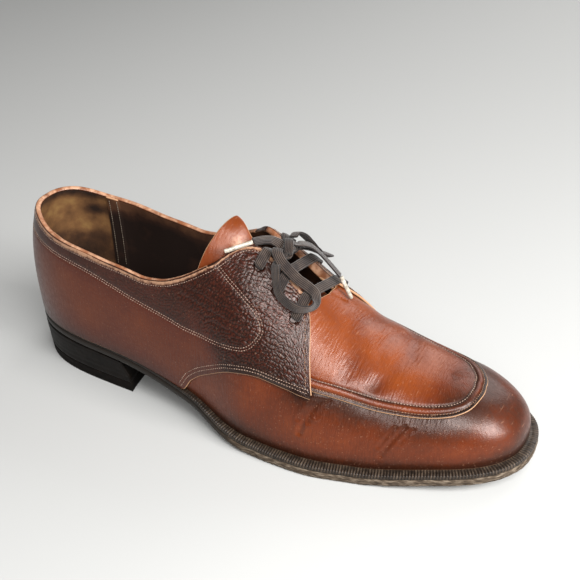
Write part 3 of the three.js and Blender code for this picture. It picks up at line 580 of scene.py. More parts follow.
# %% The free lace: each side's loop, its pass through the knot and its end
KNOT_CENTRE = np.array([17.5, 0.5, 102.2])
LOOP_LATERAL = [
    [14.9, -5.9, 103.3], [16, -8.8, 102.8], [19.2, -10.6, 99.6], [23.7, -10.5, 95.2], [28.4, -10, 91],
    [33.2, -8.7, 87.4], [37.4, -8.8, 84.2], [39.4, -12.6, 81.2], [38.4, -18.6, 81], [34.4, -22.6, 82.4],
    [29.2, -23.8, 85.2], [24.6, -23.2, 88.6], [21.6, -20.4, 92.2], [19.4, -17, 96], [17.2, -12.6, 97.6],
    [17, -7.8, 98.6],
]
LATERAL_FACING = [
    [0.25, -0.25, 0.94], [0.3, -0.4, 0.87], [0.41, -0.6, 0.69], [0.45, -0.62, 0.64], [0.5, -0.6, 0.62],
    [0.62, -0.52, 0.58], [0.78, -0.5, 0.38], [0.7, -0.7, 0.05], [0.46, -0.83, -0.29], [0.15, -0.95, -0.1],
    [-0.15, -0.95, 0.1], [-0.35, -0.85, 0.3], [-0.35, -0.8, 0.4], [-0.3, -0.75, 0.55], [-0.2, -0.6, 0.75],
    [-0.1, -0.4, 0.9],
]
END_LATERAL = [
    [10.6, -1.6, 104.6], [8.8, -2.6, 105.4], [6.6, -4.4, 105.8], [4.4, -6.6, 105.9], [2.4, -9, 105.9],
]
LOOP_MEDIAL = [
    [16.8, 6.9, 104.4], [17, 10.6, 105], [18.4, 14.6, 102.4], [20.4, 17.8, 97.8], [23.2, 20.2, 93.2],
    [27, 21.6, 90], [30.8, 20, 89.8], [31, 17, 91.4], [28.6, 14.6, 93.6], [25.2, 11.4, 96.4],
    [22.4, 7.8, 98.6],
]
END_MEDIAL = [
    [24.2, 4, 103.6], [27.4, 6.6, 101.8], [30.8, 9, 97.6], [34.6, 10.8, 92.6], [38.4, 11.6, 88.2],
    [41.4, 12, 84.8],
]
FREE = {
    "lace_lateral": {
        "loop": LOOP_LATERAL, "through": [[16.2, -3, 100.6], [14.2, -1.6, 103.2]], "end": END_LATERAL,
        "facing": LATERAL_FACING, "end_facing": [0.1, -0.35, 0.93],
        "nodes": ("lace_loop_lateral", "lace_end_lateral"),
    },
    "lace_medial": {
        "loop": LOOP_MEDIAL, "through": [[19.9, 4, 100.9], [19.4, 2.2, 102.4], [21.2, 2.2, 103.6]],
        "end": END_MEDIAL,
        "facing": [[-0.25, 0.35, 0.9]] * len(LOOP_MEDIAL), "end_facing": [0.45, 0.3, 0.84],
        "nodes": ("lace_loop_medial", "lace_end_medial"),
    },
}
free_laces = {}
for name, strand in FREE.items():
    chosen = np.array(strand["loop"] + strand["through"] + strand["end"], float)
    rest = len(strand["through"]) + len(strand["end"])
    looks = np.array(strand["facing"] + [strand["end_facing"]] * rest, float)
    route, facing = np.hsplit(spline(np.hstack([chosen, looks]), 260), 2)
    free_laces[name] = (ribbon_piece(name, [ribbon(route, facing)], cotton, strand["nodes"]), route)
    print(name, "is", round(float(runs(route)[-1]), 1), "mm long")

# %% [markdown]
# The knot is the lace wrapped round the crossing. A tight turn of ribbon goes round a core, and a second,
# flatter turn lies beside it.

# %% The knot
def turn_of_lace(centre, half, tilt, spread):
    """A closed turn of lace: an ellipse round a centre, tilted about two axes, that opens by a spread."""
    angle = np.linspace(-0.1, 2 * np.pi + 0.1, 60)
    ring = np.stack([spread * (angle / np.pi - 1), half[0] * np.cos(angle), half[1] * np.sin(angle)], -1)
    for axis, turn in zip("ZY", tilt):
        ring = ring @ np.array(Matrix.Rotation(turn, 3, axis).transposed())
    return centre + ring, unit(ring)


wrap, wrap_out = turn_of_lace(KNOT_CENTRE, (4.3, 3.0), (0.5, 0.25), 0.7)
second, second_out = turn_of_lace(KNOT_CENTRE + [0.6, 0.4, -0.8], (4.2, 2.6), (-0.75, -0.1), 0.5)
core_route = spline([KNOT_CENTRE + [-3.6, 0.4, -1], KNOT_CENTRE, KNOT_CENTRE + [3.6, -0.4, -0.9]], 24)
knot = ribbon_piece("lace_knot_wrapped", [
    ribbon(wrap, wrap_out, 4.6, 1.5), ribbon(second, second_out, 4.2, 1.4),
    ribbon(core_route, (0, 0, 1), 6.0, 4.2)], cotton, ("lace_knot",))

# %% [markdown]
# An aglet is clear film rolled round the lace's end. Age has made it pale and a little cloudy, with a
# seam along it and an open, slightly pinched tip.

# %% Aglets
aglet_film = mottled("aged_clear_film", 0.28, 420.0, 3.0, [
    (0.3, "#6f665a"), (0.5, "#a39b8d"), (0.7, "#cfc9bc")], values={"Coat Weight": 0.6})
AGLET_DIAMETER = 2.8
AGLETS = {
    "aglet_lateral": ([2, -9.4, 105.9], [-8.2, -20.4, 103.4]),
    "aglet_medial": ([41.8, 12.1, 84.2], [47.8, 12.5, 72.4]),
}


def aglet(start, end, count=40, ring=24):
    """Rings round a rod. The radius swells at its mouth, is even along it, draws in at the tip and turns
    back inside, so that the tip is an open tube."""
    share = np.concatenate([np.linspace(0, 1, count), [1, 0.9, 0.9]])
    aim = unit(np.subtract(end, start, dtype=float))
    route = np.asarray(start, float) + np.subtract(end, start) * share[:, None]
    radius = AGLET_DIAMETER / 2 * (0.8 + 0.12 * smooth(share, 0.05, 0) - 0.12 * smooth(share, 0.93, 1))
    radius[-3:] *= [0.55, 0.5, 0]
    side_way = unit(np.cross(aim, [0, 0, 1.0]))
    up = np.cross(side_way, aim)
    angle = np.linspace(0, 2 * np.pi, ring, endpoint=False)
    radius = radius[:, None] * (1 - 0.06 * np.exp(-((angle[None, :] - np.pi / 2) / 0.25) ** 2))
    offset = np.cos(angle)[None, :, None] * side_way + np.sin(angle)[None, :, None] * up
    mouth = np.broadcast_to(route[:1, None], (1, ring, 3))
    return np.concatenate([mouth, route[:, None] + offset * radius[..., None]])


for name, (start, end) in AGLETS.items():
    grid = aglet(start, end)
    make_piece(name + "_film", grid.reshape(-1, 3), grid_faces(*grid.shape[:2], wrap=True),
                              "aglet_film", [aglet_film], replaces=(name,))

for name, (piece, route) in free_laces.items():
    end = "aglet_lateral" if name == "lace_lateral" else "aglet_medial"

# %% [markdown]
# ## Where the panels lie
# The upper is cut from a few panels. The quarters wrap the heel and lie over the vamp. The apron covers
# toe and vamp inside a raised seam, and the shell under it all is the mudguard in front and the lining
# behind. The tables give each panel's edges as p and v, as in the CAD model.

# %% Edges of the panels
ARC_START = 0.397
QUARTER_END = 0.641
THROAT = 0.608
FACING_FOOT = 0.58
FACING_TOP = 0.508
MEDIAL_FORWARD = 0.014
QUARTER_TOP = np.array([
    [0.0, 0.56], [0.06, 0.565], [0.13, 0.542], [0.2, 0.523], [0.27, 0.507], [0.32, 0.506], [0.36, 0.535],
    [0.4, 0.605], [0.43, 0.685], [0.455, 0.765], [0.475, 0.848], [0.49, 0.892], [0.51, 0.918],
    [0.543, 0.895], [0.572, 0.878], [0.587, 0.864], [0.599, 0.812], [0.609, 0.744], [0.627, 0.575],
    [QUARTER_END, 0.43],
])
QUARTER_FOOT = np.array([
    [0.0, 0], [ARC_START, 0], [0.42, 0.1], [0.45, 0.2], [0.507, 0.328], [0.563, 0.388], [0.603, 0.4],
    [QUARTER_END, 0.41],
])
SHELL_TOP = np.concatenate([
    QUARTER_TOP[QUARTER_TOP[:, 0] < FACING_FOOT], [[0.59, 0.878], [0.6, 0.91], [0.605, 0.95], [THROAT, 1]]])
APRON_FOOT = np.array([
    [0.583, 0.81, 0.81], [0.588, 0.74, 0.74], [0.6, 0.6, 0.6], [0.612, 0.5, 0.52], [0.625, 0.45, 0.485],
    [0.68, 0.469, 0.5], [0.75, 0.478, 0.53], [0.8, 0.49, 0.58], [0.85, 0.522, 0.634], [0.887, 0.562, 0.664],
    [0.943, 0.644, 0.685], [1.0, 0.684, 0.684],
])
TONGUE_START, TONGUE_CENTRED, TONGUE_END, TONGUE_RISE = 0.42, 0.59, 0.67, 7.0
TONGUE_WIDTH = np.array([
    [TONGUE_START, 0.64, 0.44, 0.0], [0.435, 0.83, 0.43, 0.0], [0.45, 0.985, 0.42, 0.0],
    [0.465, 0.975, 0.4, 0.0], [0.49, 0.95, 0.38, 0.0], [0.508, 0.93, 0.37, 0.0], [0.56, 0.93, 0.36, 0.0],
    [TONGUE_CENTRED, 1, 0.36, 0.02], [TONGUE_END, 1, 0.36, 0.3],
])
EYELETS = np.array([[0.516, 0.848], [0.551, 0.806], [0.586, 0.752]])


def forward(side, p):
    """How far the medial quarter sits in front of the lateral one, as a share."""
    return 0 * p if side == LATERAL else MEDIAL_FORWARD * smooth(p, 0.5, 0.6) * (1 - smooth(p, 0.7, 0.8))


def behind(side, p):
    """The lateral share that a share on this side stands for."""
    return p - forward(side, p - forward(side, p))


def shell_wall(p):
    """Thickness of the shell: a lining under the quarters, a full wall in front."""
    return LINING + (WALL - LINING) * smooth(p, 0.42, 0.56)


def shell_top(side, p):
    """Upper edge of the shell as v: topline, facing and throat, then the ridge."""
    return np.where(p >= THROAT, 1.0, np.minimum(read(SHELL_TOP, 1, behind(side, p)), 1.0))


def apron_foot(side, p):
    """v of the apron's seam and of its back edge under the quarter."""
    return read(APRON_FOOT, 1 if side == LATERAL else 2, p)


def quarter_lift(side, p, v):
    """Height of the quarter's underside: on the shell, then up over the apron's back edge."""
    rise = v - read(QUARTER_FOOT, 1, behind(side, p))
    raised = np.maximum(smooth(rise, -0.01, 0.04), smooth(p, 0.6, 0.625))
    return SKIN_GAP + (APRON + SKIN_GAP) * smooth(p, 0.53, 0.575) * raised


def tongue_height(side, p, v):
    """Height of the tongue's outer face: under the shell's wall, and up where it is free of the facing."""
    under = -shell_wall(p) - 2 * SKIN_GAP
    collar = read(QUARTER_TOP, 1, np.minimum(p, FACING_TOP))
    free = np.clip((v - collar) / (1 - collar), 0, 1) if side == LATERAL else 1.0
    return under + TONGUE_RISE * free * (1 - smooth(p, 0.46, 0.5))


# %% [markdown]
# ## Creases and seams
# Leather that has been walked in keeps soft troughs where it bends. Each main one is a given line, with
# a depth and a width in millimetres, and a panel sinks along it like a bell curve. Distances to lines are
# measured in space, so a trough keeps its width wherever it runs.


# %% Distance to lines on the surface
def line_on(side, shares, spacing=0.7):
    """Points in space along a line given by chosen (p, v) shares."""
    curve = spline(shares, 200)
    points = place(side, curve[:, 0], curve[:, 1])
    run = runs(points)
    return at_lengths(points, run, np.arange(0, run[-1], spacing))


def distance(points, line, reach):
    """Distance of each point to a line, worked out only within reach of the line's box."""
    flat = points.reshape(-1, 3)
    near = np.all((flat > line.min(0) - reach) & (flat < line.max(0) + reach), axis=1)
    found = np.full(len(flat), reach, float)
    if near.any():
        chosen = flat[near]
        best = np.full(len(chosen), np.inf)
        for part in np.array_split(line, max(1, len(line) // 24)):
            gap = np.linalg.norm(chosen[:, None] - part[None], axis=2).min(1)
            best = np.minimum(best, gap)
        found[near] = np.minimum(best, reach)
    return found.reshape(points.shape[:-1])


# %% The main creases, as (p, v) lines with a depth and a half width in millimetres
CREASES = {
    LATERAL: [
        ([(0.652, 0.405), (0.645, 0.335), (0.635, 0.25), (0.63, 0.165)], 0.8, 1.3),
        ([(0.66, 0.42), (0.649, 0.34), (0.643, 0.255)], 0.6, 1.1),
        ([(0.645, 0.4), (0.638, 0.33), (0.627, 0.255)], 0.55, 1.1),
        ([(0.669, 0.43), (0.66, 0.37), (0.652, 0.31)], 0.45, 1.1),
        ([(0.784, 0.39), (0.773, 0.3), (0.761, 0.19), (0.755, 0.12)], 0.8, 1.2),
        ([(0.771, 0.375), (0.761, 0.29), (0.752, 0.2)], 0.55, 1.0),
        ([(0.797, 0.38), (0.788, 0.32), (0.78, 0.25)], 0.35, 1.0),
        ([(0.748, 0.99), (0.741, 0.86), (0.731, 0.715), (0.722, 0.6), (0.716, 0.54)], 0.6, 4.4),
        ([(0.664, 1.0), (0.668, 0.88), (0.677, 0.77), (0.678, 0.62), (0.674, 0.56)], 0.5, 5.0),
        ([(0.704, 0.99), (0.708, 0.9), (0.715, 0.8)], 0.35, 3.2),
    ],
    MEDIAL: [
        ([(0.748, 0.99), (0.741, 0.88), (0.733, 0.74), (0.728, 0.62)], 0.6, 4.4),
        ([(0.664, 1.0), (0.668, 0.88), (0.674, 0.75), (0.672, 0.6)], 0.5, 5.0),
        ([(0.704, 0.99), (0.71, 0.88), (0.715, 0.78)], 0.35, 3.2),
        ([(0.66, 0.44), (0.652, 0.34), (0.646, 0.22)], 0.7, 1.3),
        ([(0.782, 0.44), (0.772, 0.36), (0.765, 0.24)], 0.7, 1.2),
        ([(0.773, 0.43), (0.763, 0.35), (0.757, 0.26)], 0.5, 1.0),
    ],
}
CREASE_LINES = {
    side: [(line_on(side, shares), depth, width) for shares, depth, width in CREASES[side]] for side in SIDES}


def creased(side, points):
    """How far creases sink each point. They fade out at the ends of each line and swell beside it."""
    sunk = np.zeros(points.shape[:-1])
    for line, depth, width in CREASE_LINES[side]:
        gap = distance(points, line, 4 * width) / width
        sunk -= depth * (np.exp(-(gap**2)) - 0.3 * np.exp(-((gap - 1.9) ** 2) / 0.8) * (gap < 3.9))
    return sunk


def uneven(points, size, seed):
    """Slow waves over a surface, a sum of sines along slanted directions about a size apart."""
    ways = np.random.default_rng(seed).normal(size=(7, 3))
    phases = np.random.default_rng(seed + 1).uniform(0, 6.28, 7)
    waves = np.sin((points @ (unit(ways) * 2 * np.pi / size).T) + phases)
    return waves.mean(-1) * 1.6


# %% [markdown]
# ## A leather panel
# A panel has an outer face, an inner face and a cut edge all round that is slightly rounded. It is ruled
# between two lines in (p, v), its foot and its top. Each column goes up the outer face, over the top
# edge, down the inner face and round the foot edge, which closes it.

# %% Panels
RIM_STEPS = 5


def steps_between(start, end, shares):
    """Straight steps from one line of (p, v) to another."""
    return start[:, None] + (end - start)[:, None] * shares[None, :, None]


def walk(chosen, counts):
    """A line of (p, v) through chosen rows, with a number of steps between each pair of marked rows."""
    parts = [np.linspace(a, b, n, endpoint=False) for a, b, n in zip(chosen[:-1], chosen[1:], counts)]
    return np.concatenate([*parts, [chosen[-1]]])


def rim(outer, inner, inside_outer):
    """A half round edge between the last rows of both faces, bulging away from the panel."""
    middle = (outer + inner) / 2
    half = (outer - inner) / 2
    thickness = np.linalg.norm(half, axis=-1, keepdims=True)
    edge_way = along(middle)
    out = unit(np.cross(edge_way, half))
    flip = np.sum(out * (outer - inside_outer), axis=-1, keepdims=True) < 0
    out = np.where(flip, -out, out)
    angles = np.linspace(0, np.pi, RIM_STEPS + 2)[1:-1]
    rows = [middle + half * np.cos(a) + out * thickness * np.sin(a) * 0.8 for a in angles]
    return np.stack(rows, 1)


def panel_strip(side, foot, top, rows, outer, inner, inner_rows=14, at_ridge=None):
    """One side of a panel as a closed strip: points, faces, and p, v, cut and inner of each point."""
    shares = steps_between(foot, top, rows)
    back = steps_between(foot, top, np.linspace(1, 0, inner_rows))
    face = place(side, shares[..., 0], shares[..., 1], outer(side, shares[..., 0], shares[..., 1]))
    under = place(side, back[..., 0], back[..., 1], inner(side, back[..., 0], back[..., 1]))
    top_rim = rim(face[:, -1], under[:, 0], face[:, -2])
    foot_rim = rim(face[:, 0], under[:, -1], face[:, 1])[:, ::-1]
    loop = np.concatenate([face, top_rim, under, foot_rim], 1)
    count, size = loop.shape[:2]
    sizes = [len(rows), RIM_STEPS, inner_rows, RIM_STEPS]
    cut, inside = np.repeat([0, 1, 0, 1], sizes), np.repeat([0, 0, 1, 0], sizes)
    rim_top = np.repeat(top[:, None], RIM_STEPS, 1)
    rim_foot = np.repeat(foot[:, None], RIM_STEPS, 1)
    pv = np.concatenate([shares, rim_top, back, rim_foot], 1)
    faces = grid_faces(count, size, wrap=True)
    if at_ridge is not None:
        column, row = faces[:, 0] // size, faces[:, 0] % size
        over = (row >= len(rows) - 1) & (row < len(rows) + RIM_STEPS)
        both = at_ridge[column] & at_ridge[np.minimum(column + 1, count - 1)]
        faces = faces[~(over & both)]
    fields = {"p": pv[..., 0], "v": pv[..., 1], "cut": np.broadcast_to(cut, (count, size)),
              "inside": np.broadcast_to(inside, (count, size))}
    return loop, faces, fields, (count, size, len(rows), inner_rows)


def end_cap(shape, last):
    """Quads that close a strip at its first or last column, between the outer and the inner rows."""
    count, size, outer_rows, inner_rows = shape
    base = (count - 1) * size if last else 0
    up = np.linspace(0, outer_rows - 1, inner_rows).round().astype(int)
    down = outer_rows + RIM_STEPS + (inner_rows - 1) - np.arange(inner_rows)
    quads = [[up[i], up[i + 1], down[i + 1], down[i]] for i in range(inner_rows - 1)]
    return np.array(quads) + base


def rib_length(side, p):
    """Length of the rib at each share."""
    return np.interp(p, GRID_SHARES, RIB_LENGTH[side])


def hide_uv(side, p, v):
    """Millimetres along the shoe and up its side, for patterns that follow the hide."""
    return np.stack([p * FEATHER_LENGTH, v * rib_length(side, p)], -1)


def panel_piece(name, strips, slot, materials, paint, replaces, picks=None):
    """Strips of one or two sides in one mesh. paint gives the fields of a strip from its points."""
    loops, faces, fields, uvs, choice = [], [], [], [], []
    for side, (loop, quads, marks, shape), caps in strips:
        quads = np.concatenate([quads, *[end_cap(shape, last) for last in caps]])
        loops.append(loop)
        faces.append(quads)
        choice.append((marks["inside"].ravel()[quads].mean(1) > 0.5).astype(int))
        made = {**paint(side, loop, marks), "cut": marks["cut"]}
        fields.append({key: np.broadcast_to(value, loop.shape[:2]).ravel() for key, value in made.items()})
        uvs.append(hide_uv(side, marks["p"].ravel(), marks["v"].ravel()))
    painted = {key: np.concatenate([field[key] for field in fields]) for key in fields[0]}
    return make_piece(name, *merged(loops, faces), slot, materials, painted, np.concatenate(uvs), replaces,
                      np.concatenate(choice) if picks else None)


# %% [markdown]
# ## Burnished calf
# Calf is dyed cognac, waxed, then burnished with dark polish that gathers along seams, at the toe and
# by the welt. Each panel stores how burnished it is, with painted shade and highlight added on apron and
# tongue, and a colour ramp turns that into tones from orange brown to nearly black. The valleys of the
# printed grain, which the quarters' mesh carries as real relief, and the eyelet pits are painted darker
# as shade. A fine grain, short drawn lines, pale specks and scratches cover everything.

# %% Calf
FINE_GRAIN = 0.55
WRINKLE = 1.3


def calf(name, tones, lit, roughness, polish):
    """Burnished leather: tones from bare to burnished, darkened further by painted shade, raw at cut
    edges, with two kinds of fine relief. polish is the weight of the coat of wax."""
    material, shader = new_material(name, roughness, {
        "Specular IOR Level": 0.3, "Specular Tint": linear("#ffe6dc"), "Coat Weight": polish,
        "Coat Roughness": 0.18})
    coords = add(material, "TexCoord").outputs["Object"]
    fields = {key: add(material, "Attribute", attribute_name=key).outputs["Fac"]
              for key in ("burnish", "valley", "wrinkle", "cut", "worn")}
    cloudy = add(material, "TexNoise", {"Vector": coords, "Scale": 75.0, "Detail": 4.0})
    mottle = add(material, "TexNoise", {"Vector": coords, "Scale": 420.0, "Detail": 3.0})
    # the burnish attribute holds the real burnish and, on apron and tongue, painted shade and highlight
    tone = fields["burnish"]
    # the third part is painted shade: it darkens the grain's valleys and the eyelet pits
    for part, share, offset in ((cloudy.outputs["Fac"], 0.34, -0.17), (mottle.outputs["Fac"], 0.22, -0.11),
                                (fields["valley"], 0.45, 0.0)):
        part = add(material, "Math", {0: part, 1: share, 2: offset}, operation="MULTIPLY_ADD").outputs[0]
        tone = add(material, "Math", {0: tone, 1: part}, operation="ADD").outputs[0]
    body = add(material, "ValToRGB", {"Fac": tone}, tones).outputs["Color"]
    rub = add(material, "Math", {0: fields["worn"], 1: mottle.outputs["Fac"]}, operation="MULTIPLY")
    rub = add(material, "MapRange", {"Value": rub.outputs[0], 1: 0.22, 2: 0.52})
    rubbed = add(material, "Mix", {"Factor": rub.outputs[0], "A": body, "B": linear(lit)}, data_type="RGBA")
    raw = add(material, "Math", {0: fields["cut"], 1: 0.85}, operation="MULTIPLY")
    edged = add(material, "Mix", {"Factor": raw.outputs[0], "A": rubbed.outputs["Result"],
                                  "B": linear("#b98f6c")}, data_type="RGBA")
    drawn = add(material, "Mapping", {"Vector": coords, "Rotation": (0.5, 0.9, 0.6), "Scale": (1, 0.07, 1)})
    marks = []
    for where, scale, low, high, most in ((drawn.outputs[0], 1100.0, 0.66, 0.78, 0.2),
                                          (coords, 900.0, 0.77, 0.86, 0.22)):
        noise = add(material, "TexNoise", {"Vector": where, "Scale": scale, "Detail": 1.0}).outputs["Fac"]
        marks.append(add(material, "MapRange", {"Value": noise, 1: low, 2: high, 4: most}).outputs[0])
    marked = add(material, "Math", dict(enumerate(marks)), operation="MAXIMUM")
    marked = add(material, "Mix", {"Factor": marked.outputs[0], "A": edged.outputs["Result"],
                                   "B": linear(lit)}, data_type="RGBA")
    join(material, marked.outputs["Result"], shader.inputs["Base Color"])
    fine = add(material, "TexVoronoi", {"Vector": coords, "Scale": 1 / (FINE_GRAIN * MM)})
    hide = add(material, "UVMap", uv_map="hide")
    drawn = add(material, "Mapping", {"Vector": hide.outputs[0], "Scale": (1, 0.16, 1)})
    lines = add(material, "TexNoise", {"Vector": drawn.outputs[0], "Scale": 1 / (WRINKLE * MM), "Detail": 2.0})
    wrinkled = add(material, "Math", {0: lines.outputs["Fac"], 1: fields["wrinkle"]}, operation="MULTIPLY")
    relief = add(material, "Bump", {"Height": wrinkled.outputs[0], "Distance": 0.6 * MM, "Strength": 0.75})
    relief = add(material, "Bump", {"Height": fine.outputs["Distance"], "Distance": 0.1 * MM,
                                    "Strength": 0.35, "Normal": relief.outputs[0]})
    for socket in ("Normal", "Coat Normal"):
        join(material, relief.outputs[0], shader.inputs[socket])
    dull = add(material, "MapRange", {"Value": mottle.outputs["Fac"], 1: 0.3, 2: 0.7,
                                      3: roughness - 0.06, 4: roughness + 0.08})
    duller = add(material, "Math", {0: fields["cut"], 1: 0.35, 2: dull.outputs[0]}, operation="MULTIPLY_ADD")
    join(material, duller.outputs[0], shader.inputs["Roughness"])
    return material


COGNAC = [(0.0, "#73340f"), (0.3, "#582207"), (0.62, "#331406"), (1.0, "#160803")]
OXBLOOD = [(0.0, "#5c270b"), (0.3, "#4c1b07"), (0.62, "#40180c"), (1.0, "#1a0904")]
burnished_calf = calf("burnished_calf", COGNAC, "#b58b70", 0.36, 0.2)
pebbled_calf = calf("pebbled_calf", OXBLOOD, "#a07a60", 0.34, 0.22)

# %% [markdown]
# ## Linings
# Inside, the heel pocket is a khaki suede that feet have rubbed dark. A strip with two rows of white
# stitches joins it to a dark brown lining that runs forward to the vamp. One material reads where suede
# ends and how worn it is.

# %% Lining leather
lining, shader = new_material("lining_leather", 0.8, {"Specular IOR Level": 0.25})
coords = add(lining, "TexCoord").outputs["Object"]
suede, soiled = [add(lining, "Attribute", attribute_name=key).outputs["Fac"] for key in ("suede", "soiled")]
nap = add(lining, "TexNoise", {"Vector": coords, "Scale": 90.0, "Detail": 6.0}).outputs["Fac"]
soil = add(lining, "Math", {0: nap, 1: 0.9, 2: soiled}, operation="MULTIPLY_ADD")
pale = add(lining, "ValToRGB", {"Fac": soil.outputs[0]}, [
    (0.3, "#8a6a3e"), (0.55, "#68482a"), (0.8, "#3f2817"), (1.0, "#1f120a")])
wear = add(lining, "Math", {0: nap, 1: soiled}, operation="SUBTRACT")
dark = add(lining, "ValToRGB", {"Fac": wear.outputs[0]}, [(0.0, "#1a0d07"), (0.3, "#2e1a10"), (0.6, "#553724")])
lined = add(lining, "Mix", {"Factor": suede, "A": dark.outputs["Color"], "B": pale.outputs["Color"]},
            data_type="RGBA")
join(lining, lined.outputs["Result"], shader.inputs["Base Color"])
rough = add(lining, "TexNoise", {"Vector": coords, "Scale": 1200.0, "Detail": 2.0}).outputs["Fac"]
bump = add(lining, "Bump", {"Height": rough, "Distance": 0.2 * MM, "Strength": 0.4})
join(lining, bump.outputs[0], shader.inputs["Normal"])

# %% [markdown]
# ## The upper's shell
# In front the shell is the mudguard, a band of smooth calf from the apron seam down to the welt, and
# behind it is the lining under the quarters. The tone darkens beside the seam, over the welt and round
# the toe, and two groups of creases cross it at the ball.

# %% Shell
seam_p = np.linspace(0.63, 1, 160)
SEAM_LINE = {side: place(side, seam_p, apron_foot(side, seam_p)) for side in SIDES}
LINING_SEAM = 0.128
LINING_STRIP = 0.024
STRIP_RISE = 0.5
STRIP_SLOPE = 0.0015


def shell_inner(side, p, v):
    """The shell's inner face, with a strip of leather raised by half a millimetre over the lining's seam."""
    end = LINING_SEAM + LINING_STRIP
    strip = smooth(p, LINING_SEAM - STRIP_SLOPE, LINING_SEAM) * smooth(p, end, end - STRIP_SLOPE)
    return -shell_wall(p) - STRIP_RISE * strip


def shell_outer(side, p, v):
    """The shell's outer face: creased, with slow unevenness and a slight sinking along the seam."""
    points = place(side, p, v)
    bare = smooth(p, 0.4, 0.44) * (1 - smooth(v - apron_foot(side, p), 0.0, 0.03) * (p > 0.6))
    sunk = creased(side, points) * bare
    return sunk + 0.12 * uneven(points, 30, 3) * bare * smooth(v, 0, 0.12)


def shell_paint(side, loop, marks):
    """Burnish beside the seam, over the welt and round the toe, and wear of the lining."""
    p, v = marks["p"], marks["v"]
    seam = bell(distance(loop, SEAM_LINE[side], 34), 11, 1.5) * (0.58 - 0.22 * smooth(p, 0.82, 0.95))
    welt = 0.5 * bell(v * rib_length(side, p), 5, 1.4)
    toe = 0.2 * smooth(p, 0.86, 1.0)
    waist = 0.3 * bell(p - 0.46, 0.05) * smooth(v, 0.12, 0.3)
    burnish = 0.27 + seam + welt + toe + waist + 0.1 * uneven(loop, 34, 9)
    wrinkle = 0.4 * bell(p - 0.7, 0.14) + 0.3 * smooth(p, 0.93, 0.82) + 0.06
    suede = smooth(p, LINING_SEAM, LINING_SEAM - 0.002)
    rubbed = np.linalg.norm((np.stack([p, v], -1) - [0.1, 0.45]) / [0.03, 0.035], axis=-1)
    soiled = 0.1 + 0.4 * smooth(v, 0.5, 0.56) + 0.5 * bell(rubbed, 1) + 0.3 * smooth(v, 0.34, 0.28)
    soiled = np.where(suede > 0.5, soiled, 0.55 * smooth(v, 0.5, 0.4))
    return {"burnish": np.clip(burnish, 0, 1), "valley": 0.0, "wrinkle": wrinkle, "worn": 0.0,
            "suede": suede, "soiled": soiled}


def shares_from(steps):
    """Shares from 0 to 1 whose steps have the given relative sizes."""
    run = np.concatenate([[0], np.cumsum(steps)])
    return run / run[-1]


shell_p = np.concatenate([np.linspace(0, 0.38, 140, endpoint=False), np.linspace(0.38, 1, 220)])
shell_rows = shares_from(np.concatenate([np.full(66, 1.0), np.full(22, 2.4)]))
strips = []
for side in SIDES:
    foot = np.stack([shell_p, 0 * shell_p], -1)
    top = np.stack([shell_p, shell_top(side, shell_p)], -1)
    strip = panel_strip(side, foot, top, shell_rows, shell_outer, shell_inner, inner_rows=34,
                        at_ridge=top[:, 1] >= 1)
    strips.append((side, strip, ()))
panel_piece("upper_shell", strips, "calf", [burnished_calf, lining], shell_paint, ("upper",), picks=True)

# %% [markdown]
# ## The apron
# The apron lies over the vamp and toe. Its edge is cut raw and sewn down by a dark row close to the
# edge. A second, pale row runs 4 mm inside it, and the leather between the rows swells a little. Soft
# valleys cross the vamp where the foot bends.

# %% Apron
APRON_ROWS = (1.5, 5.6)
SWELL_AT = 3.4


def apron_outer(side, p, v):
    """Outer face: two sewn channels with a swell between them, creases over the vamp, slow waves."""
    points = place(side, p, v)
    inside = distance(points, SEAM_LINE[side], 40)
    swell = 0.4 * bell(inside - SWELL_AT, 1.5)
    channels = 0.35 * bell(inside - APRON_ROWS[0], 0.7) + 0.35 * bell(inside - APRON_ROWS[1], 0.8)
    soft = smooth(inside, 5, 12) * (creased(side, points) + 0.14 * uneven(points, 30, 5))
    return SKIN_GAP + APRON + swell - channels + soft


def apron_paint(side, loop, marks):
    """Burnish along the seam and at the toe, bare vamp in the middle. Painted shade darkens the sewn
    channels and the crease valleys, and a painted highlight lightens the swell between the rows.
    """
    p = marks["p"]
    inside = distance(loop, SEAM_LINE[side], 40)
    # the second term lightens the swell between the rows as a painted highlight
    seam = 0.5 * bell(inside, 7.5, 1.6) - 0.22 * bell(inside - SWELL_AT, 1.3)
    # rows darkens the sunk sewn channels as painted shade
    rows = 0.35 * bell(inside - APRON_ROWS[0], 0.6) + 0.35 * bell(inside - APRON_ROWS[1], 0.7)
    toe = 0.32 * smooth(p, 0.77, 0.9)
    # valleys darkens the crease troughs as painted shade
    valleys = 0.22 * np.clip(-creased(side, loop), 0, 1)
    # this sum holds the real burnish together with the painted shade and highlight above
    burnish = 0.08 + seam + rows + toe + valleys + 0.1 * uneven(loop, 30, 12)
    wrinkle = 0.6 * bell(p - 0.68, 0.07) * smooth(inside, 4, 12) + 0.35
    return {"burnish": np.clip(burnish, 0, 1), "valley": 0.0, "wrinkle": wrinkle, "worn": 0.0}


apron_t = np.concatenate([np.linspace(0.583, 0.63, 26, endpoint=False), np.linspace(0.63, 1, 190)])
apron_rows = shares_from(np.concatenate([np.full(22, 0.4), np.linspace(0.5, 1.5, 12), np.full(34, 1.5)]))
strips = []
for side in SIDES:
    foot = np.stack([apron_t, apron_foot(side, apron_t)], -1)
    top = np.stack([apron_t, np.maximum(shell_top(side, apron_t), foot[:, 1] + 0.002)], -1)
    strip = panel_strip(side, foot, top, apron_rows, apron_outer, lambda s, p, v: SKIN_GAP + 0 * p,
                        at_ridge=top[:, 1] >= 1)
    strips.append((side, strip, (False,)))
panel_piece("apron_panel", strips, "calf", [burnished_calf], apron_paint, ("apron",))

# %% [markdown]
# ## The quarters
# Each quarter runs from the heel back to a straight front edge beside the throat. A double row of
# stitches sweeps from the heel down the side and back up to the collar. Above it the leather is dark
# and pebbled, and below it burnished cognac shows. The lower edge is an arc, cut raw, over the mudguard.

